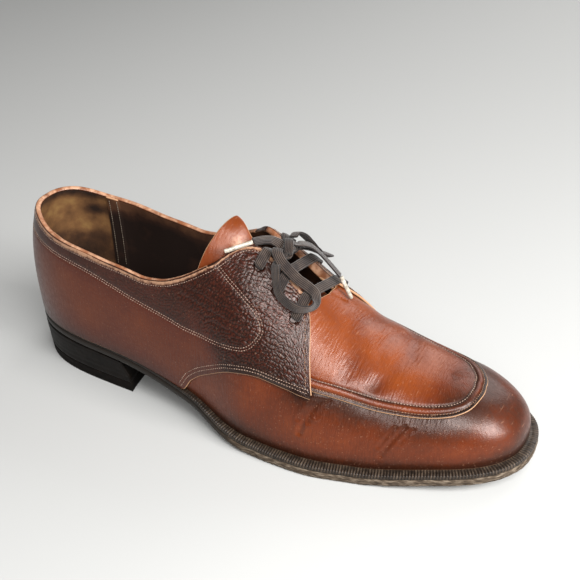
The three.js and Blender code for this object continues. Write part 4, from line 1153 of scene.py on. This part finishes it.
# %% Quarters
DOUBLE_ROW = [
    (0.0, 0.472), (0.09, 0.469), (0.19, 0.444), (0.307, 0.378), (0.39, 0.37), (0.41, 0.37), (0.45, 0.4),
    (0.503, 0.44), (0.527, 0.472), (0.543, 0.54), (0.547, 0.604), (0.533, 0.655), (0.513, 0.681),
    (0.48, 0.719), (0.453, 0.752),
]
# v along the row's lower run, and a high value past it, where the pebbled front takes over
LOWER_ROW = np.array([*DOUBLE_ROW[:7], (0.453, 0.432), (0.4531, 0.752)])
# a usual rib in millimetres, which turns differences of v into millimetres
MEAN_RIB = 118
QUARTER_WRINKLES = [
    ([(0.40, 0.53), (0.47, 0.545), (0.53, 0.56)], 0.22, 0.8),
    ([(0.41, 0.575), (0.48, 0.6), (0.535, 0.61)], 0.25, 0.8),
    ([(0.43, 0.63), (0.49, 0.65), (0.56, 0.67)], 0.25, 0.9),
    ([(0.46, 0.5), (0.5, 0.515), (0.54, 0.52)], 0.18, 0.8),
    ([(0.5, 0.7), (0.55, 0.71), (0.59, 0.7)], 0.2, 0.9),
]
PEBBLE = 1.75
PEBBLE_HEIGHT = 0.32
TILE = 97
JITTER = np.random.default_rng(11).uniform(0.1, 0.9, (TILE, TILE, 2))
EYELET_DROP = 0.9


def pebbles(side, p, v):
    """Domes of the printed grain on the flattened hide. A jittered grid has one point in each cell. The
    distance to the second nearest point less that to the nearest is 0 in the valleys and grows inwards."""
    flat = hide_uv(side, p, v) / (PEBBLE * np.array([0.9, 1.2]))
    x, y = flat[..., 0], flat[..., 1]
    flat = flat + 0.3 * np.stack([np.sin(1.3 * y + 0.6 * x), np.sin(1.1 * x - 0.9 * y)], -1)
    home = np.floor(flat).astype(int)
    first, second = np.full(x.shape, 9.0), np.full(x.shape, 9.0)
    for step in np.ndindex(3, 3):
        cell = home + np.array(step) - 1
        gap = np.linalg.norm(flat - cell - JITTER[cell[..., 0] % TILE, cell[..., 1] % TILE], axis=-1)
        second = np.minimum(second, np.maximum(first, gap))
        first = np.minimum(first, gap)
    return smooth(second - first, -0.06, 0.42)


def above_row(q, v):
    """1 above the lower run of the double row and 0 below it."""
    return smooth((v - np.interp(q, *LOWER_ROW.T)) * MEAN_RIB, -1.5, 1.5)


def grain_share(side, p, v):
    """How strong the grain is: full in front, fading out in the dark strip towards the heel, faint below."""
    q = behind(side, p)
    front = smooth(q + 0.35 * (v - 0.3), 0.43, 0.53)
    edge = np.minimum(read(QUARTER_TOP, 1, q) - v, v - read(QUARTER_FOOT, 1, q)) * MEAN_RIB
    strip = above_row(q, v) * (0.15 + 0.4 * smooth(q, 0.15, 0.42))
    share = np.clip(np.maximum(front, strip), 0.12 * smooth(q, 0.05, 0.3), 1)
    return share * (0.2 + 0.8 * smooth(edge, 0.8, 3.2))


def eyelet_gap(side, p, v):
    """Distance in millimetres to the nearest eyelet, on the flattened hide. The laces have pulled the
    holes long, so each shows a little further down than the lace."""
    flat = hide_uv(side, p, v)
    gaps = []
    for row in EYELETS:
        centre = hide_uv(side, row[0] + forward(side, row[:1]), row[1:])[0] - [0, EYELET_DROP]
        gaps.append(np.linalg.norm(flat - centre, axis=-1))
    return np.min(gaps, axis=0)


def quarter_outer(side, p, v):
    """Outer face: lift and thickness, the grain, fine wrinkles, the double row's channels and the eyelets."""
    points = place(side, p, v)
    height = quarter_lift(side, p, v) + QUARTER
    height = height + PEBBLE_HEIGHT * grain_share(side, p, v) * (pebbles(side, p, v) - 0.8)
    height = height - 1.5 * smooth(eyelet_gap(side, p, v), 2.6, 1.8)
    for line, depth, width in QUARTER_LINES[side]:
        height = height - depth * bell(distance(points, line, 4 * width), width)
    height = height - 0.25 * bell(distance(points, DOUBLE_LINE[side], 6), 1.6)
    return height + 0.12 * uneven(points, 34, 7) * smooth(v, 0, 0.1)


def own_share(side, shares):
    """Lateral (p, v) shares moved to where they lie on this side."""
    return [(p + float(forward(side, np.array(p))), v) for p, v in shares]


QUARTER_LINES = {side: [(line_on(side, own_share(side, s)), d, w) for s, d, w in QUARTER_WRINKLES]
                 for side in SIDES}
DOUBLE_LINE = {side: line_on(side, own_share(side, DOUBLE_ROW)) for side in SIDES}


def quarter_paint(side, loop, marks):
    """Dark and pebbled above the double row and in front, cognac below it, burnished at heel and welt.
    Painted shade darkens the grain's valleys and the eyelet pits.
    """
    p, v = behind(side, marks["p"]), marks["v"]
    dark = np.maximum(above_row(p, v), smooth(p + 0.35 * (v - 0.3), 0.455, 0.53))
    heel = bell(p * FEATHER_LENGTH, 15, 1.5)
    low = bell(v * rib_length(side, p), 8.5, 1.5) * (1 - smooth(p, 0.36, 0.42))
    seam = 0.3 * bell(distance(loop, DOUBLE_LINE[side], 20), 6, 1.4)
    arc = 0.35 * bell((v - read(QUARTER_FOOT, 1, p)) * MEAN_RIB, 6) * smooth(p, 0.38, 0.42)
    burnish = 0.12 + 0.62 * dark + (1 - dark) * (0.55 * heel + 0.62 * low + seam) + 0.3 * heel * dark + arc
    # hole marks the eyelet pits, painted near black as the shade inside a hole
    hole = smooth(eyelet_gap(side, marks["p"], v), 2.8, 2.2)
    # this field is painted shade: darker in the grain's valleys and near black in the eyelet pits
    valley = grain_share(side, marks["p"], v) * (1 - pebbles(side, marks["p"], v)) + 2 * hole
    worn = 1.2 * bell((read(QUARTER_TOP, 1, p) - v) * MEAN_RIB, 2.2) * (p < 0.6)
    return {"burnish": np.clip(burnish + 0.08 * uneven(loop, 30, 21), 0, 1), "valley": valley,
            "wrinkle": 0.15 + 0.35 * smooth(p, 0.3, 0.45), "worn": worn * (1 - hole)}


def quarter_edges(side):
    """The quarter's foot and top lines, matched so that the ruled columns lean forward evenly."""
    counts = [190, 66, 48, 40]
    foot_p = walk(np.array([0.0, ARC_START, 0.507, 0.58, QUARTER_END]), counts)
    foot_p = np.maximum(foot_p, CLEARANCE / 2 / FEATHER_LENGTH)
    foot_v = np.where(foot_p <= ARC_START, 0, read(QUARTER_FOOT, 1, foot_p))
    fine_p = np.linspace(0, QUARTER_END, 1200)
    fine = place(side, fine_p, read(QUARTER_TOP, 1, fine_p))
    run = runs(fine)
    marks = np.interp([0.0, 0.4, 0.51, 0.59, QUARTER_END], fine_p, run)
    top_p = np.interp(walk(marks, counts), run, fine_p)
    top_p = np.maximum(top_p, CLEARANCE / 2 / FEATHER_LENGTH)
    top_v = read(QUARTER_TOP, 1, top_p)
    return [np.stack([q + forward(side, q), v], -1) for q, v in ((foot_p, foot_v), (top_p, top_v))]


end_rows = np.linspace(0.3, 0.5, 8)
quarter_rows = shares_from(np.concatenate([end_rows, np.full(170, 0.5), end_rows[::-1]]))
for side, word in ((LATERAL, "lateral"), (MEDIAL, "medial")):
    foot, top = quarter_edges(side)
    strip = panel_strip(side, foot, top, quarter_rows, quarter_outer, quarter_lift)
    panel_piece(f"quarter_{word}_panel", [(side, strip, (False, True))], "quarter_grain", [pebbled_calf],
                quarter_paint, (f"quarter_{word}",))

# %% [markdown]
# ## The tongue
# The tongue is a single thick piece of the same calf. It has slid outwards under the outer facing, so
# only its inner corner stands up. Its edge is cut, and it is rubbed pale near its end.


# %% Tongue
def tongue_paint(side, loop, marks):
    """Mostly bare cognac, with painted shade deep in the throat, rubbed pale near its end."""
    p = marks["p"]
    rubbed = bell(np.linalg.norm(loop - [-3.0, -12.0, 104.0], axis=-1), 7)
    # the smooth term darkens the tongue deep in the throat as painted shade
    burnish = 0.1 + 0.5 * smooth(p, 0.53, 0.62) + 0.1 * uneven(loop, 22, 31)
    return {"burnish": np.clip(burnish, 0, 1), "valley": 0.0, "wrinkle": 0.3, "worn": 1.1 * rubbed}


strips = []
centred_p = np.linspace(TONGUE_CENTRED, TONGUE_END, 30)
free_p = np.concatenate([np.linspace(TONGUE_START, 0.47, 50), np.linspace(0.47, TONGUE_CENTRED, 40)[1:-1]])
for side in SIDES:
    p = np.concatenate([free_p, centred_p]) if side == LATERAL else centred_p
    foot = np.stack([p, 1 - read(TONGUE_WIDTH, 2 if side == LATERAL else 3, p)], -1)
    top = np.stack([p, np.where(p >= TONGUE_CENTRED, 1, read(TONGUE_WIDTH, 1, p))], -1)
    strip = panel_strip(side, foot, top, np.linspace(0, 1, 48), tongue_height,
                        lambda s, p, v: tongue_height(s, p, v) - TONGUE, at_ridge=top[:, 1] >= 1)
    strips.append((side, strip, (False, True)))
panel_piece("tongue_leather", strips, "calf", [burnished_calf], tongue_paint, ("tongue",))

# %% [markdown]
# ## Lace bars
# Three bars of the same lace cross the throat. Each comes up out of an eyelet, lies over the facing and
# goes down into the opposite one. The lace is gathered where it passes through the punched hole.

# %% Bars through the eyelets
# x, y and the rise over the crown of the top bar, where it dips under the knot
BAR_DIP = np.array([[11.6, -3.9, 1], [14.6, -1.2, 0.6], [16.2, 1.6, 1.2], [14.6, 5, 2]])
DIP_HEIGHT = crown(BAR_DIP[:, 0] / LAST_LENGTH + 0.5) + BAR_DIP[:, 2]


def bar_side(side, row):
    """From inside an eyelet, up through it and over the facing to its edge."""
    p, v = row[0] + float(forward(side, np.array(row[0]))), row[1]
    high = v + (read(QUARTER_TOP, 1, row[0]) - v) * np.linspace(0.1, 1, 6)
    seat = QUARTER + LACE_SEAT + LACE_THICKNESS / 2
    over = place(side, np.full(len(high), p), high, quarter_lift(side, p, high) + seat)
    hole = place(side, np.full(3, p), v - np.array([0.004, 0.006, 0.008]), [-3.0, 0.4, 2.6])
    return np.concatenate([hole, over])


for number, row in enumerate(EYELETS, 1):
    middle = np.column_stack([BAR_DIP[:, :2], DIP_HEIGHT]) if number == 1 else np.empty((0, 3))
    chosen = np.concatenate([bar_side(LATERAL, row), middle, bar_side(MEDIAL, row)[::-1]])
    route = spline(chosen, 120)
    run = runs(route)
    gathered = np.maximum(smooth(run, 7, 2), smooth(run, run[-1] - 7, run[-1] - 2))
    length_way = unit(np.subtract(*place(LATERAL, row[0] + np.array([0.01, -0.01]), np.full(2, row[1]))))
    facing = np.cross(np.broadcast_to(length_way, route.shape), along(route))
    bar = ribbon(route, facing, LACE_WIDTH - 2.1 * gathered, LACE_THICKNESS + 1.0 * gathered)
    ribbon_piece(f"lace_bar_{number}_woven", [bar], cotton, (f"lace_bar_{number}",))

# %% [markdown]
# ## The sole
# The outsole, welt and heel are outlines carried round the shoe. At each place along the feather line a
# small profile is set out from it. The welt's top is marked by a wheel into fine ribs, 1.5 mm apart,
# which fade out behind the waist.


# %% Rings round the shoe
def ring_shares(count):
    """Side and share of places evenly spaced round the outline, from the heel back along the outer side."""
    p = np.linspace(0, 1, count)
    station = np.interp(p, OUTLINE_P, OUTLINE_SHARE)
    side = np.concatenate([np.full(count, LATERAL), np.full(count - 2, MEDIAL)])
    return side, np.concatenate([station, station[1:-1][::-1]]), np.concatenate([p, p[1:-1][::-1]])


def ring_edge(side, share, out):
    """Outline points of both sides at distances out from the feather line."""
    lateral = edge_points(LATERAL, share, out)
    return np.where((side == LATERAL)[:, None], lateral, edge_points(MEDIAL, share, out))


def ring_piece(name, side, share, profile, slot, material, fields, node):
    """A closed ring. profile lists (out, height, pull) round its section: a distance out from the feather
    line, a height and how far the place is pulled in to the centre line, which makes a plate."""
    columns = []
    for out, height, pull in profile:
        point = ring_edge(side, share, out)
        middle = np.stack([(share - 0.5) * LAST_LENGTH, BALL_WIDTH * read(PLAN, 3, share)], -1)
        point = point + (middle - point) * pull
        z = height(np.clip(point[:, 0] / LAST_LENGTH + 0.5, 0, 1))
        columns.append(np.concatenate([point, z[:, None]], 1))
    loop = np.stack(columns, 1)
    count, size = loop.shape[:2]
    closed = np.concatenate([loop, loop[:1]])
    faces = grid_faces(count + 1, size, wrap=profile[0][2] == 0)
    made = {key: np.repeat(np.concatenate([value, value[:1]])[:, None], size, 1).ravel()
            for key, value in fields.items()}
    return make_piece(name, closed.reshape(-1, 3), faces, slot, [material], made, replaces=(node,))


# %% [markdown]
# Sole leather is stained and dressed with wax. At the waist and heel it is nearly black. Round the
# forepart walking has scraped the dye off, so the edge is rough and grey brown, with fine layers.

# %% Sole leather
dressed, shader = new_material("dressed_sole_leather", 0.6, {"Specular IOR Level": 0.25})
coords = add(dressed, "TexCoord").outputs["Object"]
scraped = add(dressed, "Attribute", attribute_name="scraped").outputs["Fac"]
layers = add(dressed, "Mapping", {"Vector": coords, "Scale": (1, 1, 5)})
streak = add(dressed, "TexNoise", {"Vector": layers.outputs[0], "Scale": 260.0, "Detail": 5.0})
bitten = add(dressed, "Math", {0: streak.outputs["Fac"], 1: scraped}, operation="MULTIPLY")
tones = add(dressed, "ValToRGB", {"Fac": bitten.outputs[0]}, [
    (0.0, "#120d09"), (0.3, "#2c231a"), (0.5, "#4f4235"), (0.72, "#857767")])
join(dressed, tones.outputs["Color"], shader.inputs["Base Color"])
bump = add(dressed, "Bump", {"Height": bitten.outputs[0], "Distance": 0.9 * MM, "Strength": 0.8})
join(dressed, bump.outputs[0], shader.inputs["Normal"])
rough = add(dressed, "MapRange", {"Value": scraped, 3: 0.42, 4: 0.8})
join(dressed, rough.outputs[0], shader.inputs["Roughness"])


def sole_top(share):
    """Height of the outsole's upper face."""
    return sole_bottom(share) + OUTSOLE


side, share, p = ring_shares(420)
edge = sole_edge(share)
forepart = smooth(p, 0.42, 0.56)
ragged = 0.12 * forepart * np.random.default_rng(5).normal(size=len(p))
ragged = np.convolve(np.concatenate([ragged[-2:], ragged, ragged[:2]]), [0.2, 0.6, 0.2], "same")[2:-2]
none = 0 * edge
profile = [
    (none, sole_top, 1.0), (none, sole_top, 0.5), (none, sole_top, 0.0),
    (edge - 0.5, sole_top, 0.0),
    (edge - 0.05, lambda s: sole_top(s) - 0.35, 0.0),
    (edge + 0.15 + ragged, lambda s: sole_top(s) - 1.4, 0.0),
    (edge + 0.1 + ragged, lambda s: sole_top(s) - 2.6, 0.0),
    (edge - 0.1 + ragged, lambda s: sole_bottom(s) + 0.7, 0.0),
    (edge - 0.9 + ragged, sole_bottom, 0.0),
    (none - 4, sole_bottom, 0.0), (none, sole_bottom, 0.5), (none, sole_bottom, 1.0),
]
ring_piece("outsole_leather", side, share, profile, "sole_leather", dressed,
           {"scraped": 0.15 + 0.85 * forepart}, "outsole")

# %% [markdown]
# The welt is a strip of leather sewn between upper and sole. It is inked black. Ribs cross its outer
# part, and a smooth gutter runs along the upper. The rib tops are painted lighter as highlight and the
# notches darker as shade.

# %% Welt
wheeled, shader = new_material("wheeled_welt_leather", 0.5, {
    "Specular IOR Level": 0.2, "Coat Weight": 0.15, "Coat Roughness": 0.3})
coords = add(wheeled, "TexCoord").outputs["Object"]
ridge_mark = add(wheeled, "Attribute", attribute_name="ridge").outputs["Fac"]
ink = add(wheeled, "TexNoise", {"Vector": coords, "Scale": 300.0, "Detail": 4.0})
tone = add(wheeled, "Math", {0: ridge_mark, 1: ink.outputs["Fac"]}, operation="MULTIPLY")
tones = add(wheeled, "ValToRGB", {"Fac": tone.outputs[0]}, [
    (0.05, "#0b0705"), (0.35, "#271e17"), (0.7, "#524539")])
join(wheeled, tones.outputs["Color"], shader.inputs["Base Color"])
RIB_PITCH = 1.5
RIB_STEPS = 5

rib_count = int(2 * FEATHER_LENGTH / RIB_PITCH)
side, share, p = ring_shares(rib_count * RIB_STEPS // 2 + 1)
edge = sole_edge(share)
wheel = 0.5 + 0.5 * np.cos(2 * np.pi * np.arange(len(p)) / RIB_STEPS)
ribbed = smooth(p, 0.36, 0.46)
notch = 0.62 * wheel * ribbed


def over_welt(rise):
    """A height over the welt's top by a rise in millimetres."""
    return lambda s: welt_top(s) + rise


def under_welt(drop):
    """A height over the welt's underside."""
    return lambda s: sole_top(s) + CLEARANCE + drop


none = 0 * edge
profile = [
    (none - WELT_SEAT, under_welt(0), 0.0), (none - WELT_SEAT, over_welt(0), 0.0),
    (none - 0.2, over_welt(0), 0.0),
    (np.minimum(0.9, edge - 0.4), over_welt(-0.25), 0.0),
    (np.minimum(1.5, edge - 0.35), over_welt(-0.1 - notch * 0.3), 0.0),
    (np.minimum(2.0, edge - 0.3), over_welt(0.12 - notch), 0.0),
    (np.maximum(edge - 0.7, edge * 0.9), over_welt(0.1 - notch), 0.0),
    (edge - 0.12, over_welt(-0.25 - notch * 0.7), 0.0),
    (edge + 0.05, under_welt(0.9), 0.0), (edge - 0.15, under_welt(0.05), 0.0),
]
# the ridge field paints the rib tops lighter as highlight and the notches darker as shade
ring_piece("welt_ribbed", side, share, profile, "welt_leather", wheeled,
           {"ridge": 0.35 + 0.75 * (1 - wheel) * ribbed}, "welt")

# %% [markdown]
# The insole shows only at the heel, under a thin sock of worn grey brown leather. The heel itself is a
# stack of leather lifts over a rubber top piece, inked black, with fine lines between the lifts.

# %% Insole
trodden = mottled("worn_insole_leather", 0.7, 60.0, 6.0, [
    (0.3, "#352c26"), (0.5, "#5a4c41"), (0.7, "#857463")], relief=0.6)


def insole_height(rise):
    """A height over the welt's seat."""
    return lambda s: welt_top(s) + CLEARANCE + rise


side, share, p = ring_shares(240)
inset = -(shell_wall(share) + CLEARANCE)
profile = [
    (inset, insole_height(INSOLE), 1.0), (inset, insole_height(INSOLE), 0.5),
    (inset - 0.8, insole_height(INSOLE), 0.0), (inset, insole_height(INSOLE - 0.8), 0.0),
    (inset, insole_height(0.3), 0.0), (inset - 0.4, insole_height(0), 0.0),
    (inset, insole_height(0), 0.5), (inset, insole_height(0), 1.0),
]
ring_piece("insole_sock", side, share, profile, "insole_leather", trodden, {}, "insole")

# %% Heel
BREAST = 0.247
FLARE_START = 0.4
LIFT = 3.4
LEVEL_GAP = 0.85
GROOVE = 0.22
inked, rubber = [mottled(name, roughness, 240.0, 6.0, [(0.35, "#090604"), (0.65, "#120d09"), (0.9, "#2b221a")],
                         relief=0.4, values={"Specular IOR Level": 0.1})
                 for name, roughness in (("inked_heel_leather", 0.5), ("heel_rubber", 0.75))]


def heel_loop(height, count=120):
    """Outline of the heel at a share of its height: round the back, then across the hollow breast."""
    coarse = np.linspace(0, 1, 60)
    share = np.interp(np.linspace(0, 1, count), coarse, BREAST * (1 - np.cos(coarse * np.pi / 2)))
    out = sole_edge(share) - HEEL_TAPER * (1 - height)
    lateral, medial = [edge_points(s, share, out) for s in SIDES]
    across = np.linspace(0, 1, 40)[1:-1, None]
    flare = BREAST_FLARE * smooth(1 - height, 0, 1 - FLARE_START)
    hollow = BREAST_HOLLOW * (1 - (2 * across - 1) ** 2)
    breast = lateral[-1] + (medial[-1] - lateral[-1]) * across
    breast = breast + np.concatenate([flare - hollow, 0 * hollow], 1)
    grow = smooth(share, BREAST - 0.03, BREAST)[:, None] * [[flare, 0]]
    return np.concatenate([lateral + grow, breast, (medial + grow)[::-1][:-1]])


def heel_layer(name, low, high, slot, material, node):
    """The heel between two shares of its height, with a shallow groove at each lift."""
    levels = np.linspace(low, high, max(3, int((high - low) * HEEL_LIFT / LEVEL_GAP)))
    rows = []
    for level in levels:
        loop = heel_loop(level)
        z = level * HEEL_LIFT
        groove = bell((z - TOP_PIECE) % LIFT, 0.5) if low < level < high else 0.6
        centre = np.array([(BREAST / 2 - 0.5) * LAST_LENGTH, 0.0])
        loop = loop + unit(centre - loop) * GROOVE * groove
        full = sole_bottom(np.clip(loop[:, 0] / LAST_LENGTH + 0.5, 0, 1)) - CLEARANCE
        gap = CLEARANCE if level == low and low > 0 else 0
        height = full if level >= 1 else np.minimum(z + gap, full)
        rows.append(np.column_stack([loop, height]))
    rows = capped(np.stack(rows))
    make_piece(name, rows.reshape(-1, 3), grid_faces(*rows.shape[:2], wrap=True), slot, [material],
               replaces=(node,))


TOP_SHARE = TOP_PIECE / HEEL_LIFT
heel_layer("heel_stack_lifts", TOP_SHARE, 1.0, "heel_leather", inked, "heel_stack")
heel_layer("heel_top_rubber", 0.0, TOP_SHARE, "heel_rubber", rubber, "heel_top_piece")

# %% [markdown]
# ## Stitches
# Every row of sewing is a line of single stitches. One stitch is a small spindle of thread of a few
# dozen faces, laid along the row and sunk into the leather. All stitches of a row are worked out at
# once as one array.

# %% Thread
cream, dark, white = [
    mottled(f"{name}_linen_thread", 0.75, 500.0, 2.0, [(0.3, low), (0.65, high)])
    for name, low, high in (("cream", "#654f42", "#9c8272"), ("dark", "#4a2f20", "#876248"),
                            ("white", "#52473b", "#8a7d6c"))]
SPINDLE = 6


def stitch_points(line, up, pitch, radius, sink, share=0.74):
    """Spindles along a line: each is a ring of points whose radius follows a half sine."""
    run = runs(line)
    count = max(2, int(run[-1] / pitch))
    goals = (np.arange(count) + 0.5) * run[-1] / count
    centre, normal, way = [at_lengths(a, run, goals)[:, None, None] for a in (line, up, along(line))]
    way, normal = unit(way), unit(normal)
    across = unit(np.cross(way, normal))
    t = np.linspace(-1, 1, SPINDLE)[:, None, None]
    ring = np.linspace(0, 2 * np.pi, SPINDLE, endpoint=False)[:, None]
    thick = radius * np.cos(t * np.pi / 2 * 0.96) ** 0.6
    bow = normal * ((1 - t**2) * radius * 0.6 - sink)
    section = across * np.cos(ring) + normal * np.sin(ring)
    return centre + way * (t * pitch * share / 2) + bow + section * thick


def stitches(name, lines, material, slot, pitch=1.55, radius=0.3, sink=0.02):
    """Rows of stitches in one mesh. lines holds (line, normals) pairs."""
    every = np.concatenate([stitch_points(line, up, pitch, radius, sink) for line, up in lines])
    one = grid_faces(SPINDLE, SPINDLE, wrap=True)
    faces = one + np.arange(len(every))[:, None, None] * SPINDLE**2
    make_piece(name, every.reshape(-1, 3), faces.reshape(-1, 4), slot, [material])


def row_on(side, p, v, height, shift=0.0):
    """A row's points and normals on a panel of a height, moved sideways by a shift in millimetres."""
    line = place(side, p, v, height)
    normal = look_up(NORMAL[side], p, v)
    if shift:
        line = line + unit(np.cross(along(line), normal)) * shift
    return line, normal


def quarter_row(side, shares, shift=0.0):
    """A row on a quarter."""
    p, v = spline(own_share(side, shares), 260).T
    return row_on(side, p, v, quarter_outer(side, p, v), shift)


def edge_row(side, table, low, high, inset):
    """A row that keeps a distance inside an edge of the quarter, worked out on the flattened hide."""
    q = np.linspace(low, high, 400)
    flat = hide_uv(side, q + forward(side, q), read(table, 1, q))
    way = unit(np.gradient(flat, axis=0))
    inward = np.stack([-way[:, 1], way[:, 0]], -1)
    middle = hide_uv(side, np.minimum(q, 0.45), np.full(len(q), 0.45))
    inward = np.where(np.sum(inward * (middle - flat), -1, keepdims=True) < 0, -inward, inward)
    flat = flat + inward * inset
    p = flat[:, 0] / FEATHER_LENGTH
    v = flat[:, 1] / rib_length(side, p)
    return row_on(side, p, v, quarter_outer(side, p, v))


def lining_row(side, p, low, high):
    """A row up the inner face of the shell."""
    p, v = np.full(80, p), np.linspace(low, high, 80)
    return place(side, p, v, shell_inner(side, p, v)), -look_up(NORMAL[side], p, v)


rows = []
for side in SIDES:
    rows += [quarter_row(side, DOUBLE_ROW, -0.75), quarter_row(side, DOUBLE_ROW, 0.75)]
    for inset in (2.0, 3.7):
        rows.append(edge_row(side, QUARTER_FOOT, ARC_START + 0.002, QUARTER_END - 0.006, inset))
stitches("quarter_stitches", rows, cream, "quarter_grain", radius=0.24)
rows = [edge_row(side, QUARTER_TOP, 0.01, 0.585, 2.3) for side in SIDES]
stitches("collar_stitches", rows, cream, "quarter_grain", radius=0.22)
rows = [lining_row(side, p, 0.12, 0.53) for side in SIDES for p in (LINING_SEAM + 0.004, LINING_SEAM + 0.02)]
stitches("lining_stitches", rows, white, "calf", radius=0.22)
rows = [edge_row(side, QUARTER_TOP, 0.596, QUARTER_END - 0.004, 2.0) for side in SIDES]
stitches("front_stitches", rows, dark, "quarter_grain", radius=0.24)


def apron_row(inset):
    """A row all round the apron at a distance inside its seam, from one quarter to the other."""
    parts = []
    for side in SIDES:
        p = np.linspace(0.645, 1, 240)
        v = apron_foot(side, p) + inset / rib_length(side, p)
        line, normal = place(side, p, v, apron_outer(side, p, v)), look_up(NORMAL[side], p, v)
        parts.append((line, normal) if side == LATERAL else (line[::-1], normal[::-1]))
    return np.concatenate([parts[0][0], parts[1][0][1:]]), np.concatenate([parts[0][1], parts[1][1][1:]])


stitches("apron_edge_stitches", [apron_row(APRON_ROWS[0])], dark, "calf", radius=0.26)
stitches("apron_inner_stitches", [apron_row(APRON_ROWS[1])], cream, "calf", radius=0.24)

# %% [markdown]
# ## The collar's rolled edge
# At the collar, quarter and lining are turned over a narrow roll, which feet have rubbed to a light
# tan. A soft bead follows the topline all round and thins out down the facings.


# %% Collar roll
BEAD_RING = 20


def collar_bead(side):
    """A rounded bead over quarter and lining. Its section is an ellipse that thins along the facing."""
    q = np.concatenate([np.linspace(0, 0.5, 260, endpoint=False), np.linspace(0.5, 0.59, 70)])
    p = q + forward(side, q)
    v = read(QUARTER_TOP, 1, q)
    normal = look_up(NORMAL[side], p, v)
    outer = quarter_lift(side, p, v) + QUARTER
    inner = -shell_wall(p)
    middle = place(side, p, v, (outer + inner) / 2)
    way = along(middle)
    up = unit(np.cross(way, normal))
    body = place(side, np.array([0.3]), np.array([0.3]))[0]
    up = np.where(np.sum(up * (middle - body), -1, keepdims=True) < 0, -up, up)
    half = ((outer - inner) / 2 + 0.02)[:, None, None]
    fold = (0.95 - 0.3 * smooth(q, 0.5, 0.58))[:, None, None]
    angle = np.linspace(0, 2 * np.pi, BEAD_RING, endpoint=False)[None, :, None]
    rise = np.sin(angle) * fold * 1.1 + 0.1
    return capped(middle[:, None] + normal[:, None] * np.cos(angle) * half + up[:, None] * rise)


beads = [collar_bead(side) for side in SIDES]
points, faces = merged(beads, [grid_faces(*bead.shape[:2], wrap=True) for bead in beads])
turn = np.tile(2 * np.pi * np.arange(BEAD_RING) / BEAD_RING, len(points) // BEAD_RING)
top = smooth(np.sin(turn), 0.25, 0.7)
make_piece("collar_roll", points, faces, "calf", [burnished_calf], {
    "burnish": np.clip(0.75 - 0.65 * top + 0.15 * uneven(points, 12, 41), 0, 1), "valley": 0.0,
    "wrinkle": 0.2, "cut": 0.25 * top, "worn": top * np.clip(0.75 + 0.4 * uneven(points, 7, 43), 0, 1.3)})

# %% [markdown]
# ## Stage and light
# A pale floor and soft light from a wide sky keep the shoe readable from every side. Two soft panels
# stand in front of the toe, one low and one high, as a tall window that lights toe and vamp. A smaller
# one beside the camera lays a sheen along the mudguard and over the pebbles. The last two fill the heel
# and light the vamp from behind.

# %% Stage
pale_floor, _ = new_material("pale_floor", 0.9, {"Base Color": linear("#b4b4b2")})
floor_mesh = bpy.data.meshes.new("floor")
HALF_FLOOR = 4.0
floor_mesh.from_pydata([(x * HALF_FLOOR, y * HALF_FLOOR, 0) for x, y in ((-1, -1), (1, -1), (1, 1), (-1, 1))],
                       [], [(0, 1, 2, 3)])
floor_mesh.materials.append(pale_floor)
floor = bpy.data.objects.new("floor", floor_mesh)
bpy.context.collection.objects.link(floor)

world = bpy.data.worlds.new("studio")
bpy.context.scene.world = world
world.use_nodes = True
sky = world.node_tree.nodes["Background"]
sky.inputs["Color"].default_value = (1, 1, 1, 1)
sky.inputs["Strength"].default_value = 0.23
bpy.context.scene.view_settings.view_transform = "Standard"


def area_light(name, position, target, size, power):
    """A soft square light that looks at a target."""
    light = bpy.data.lights.new(name, "AREA")
    light.shape = "SQUARE"
    light.size = size
    light.energy = power
    lamp = bpy.data.objects.new(name, light)
    lamp.location = position
    lamp.rotation_euler = (Vector(target) - Vector(position)).to_track_quat("-Z", "Y").to_euler()
    bpy.context.collection.objects.link(lamp)


area_light("low_window", (0.87, -0.13, 0.54), (0.05, 0, 0.03), 0.44, 15.0)
area_light("high_window", (0.5, -0.46, 0.85), (0.05, 0, 0.03), 0.42, 9.5)
area_light("side_window", (0.3, -0.84, 0.68), (0.06, 0, 0.03), 0.36, 3.6)
area_light("fill", (-0.9, -0.8, 0.9), (0, 0, 0.03), 0.9, 0.6)
area_light("back", (0.25, 1.1, 0.8), (0, 0, 0.05), 0.9, 8.0)
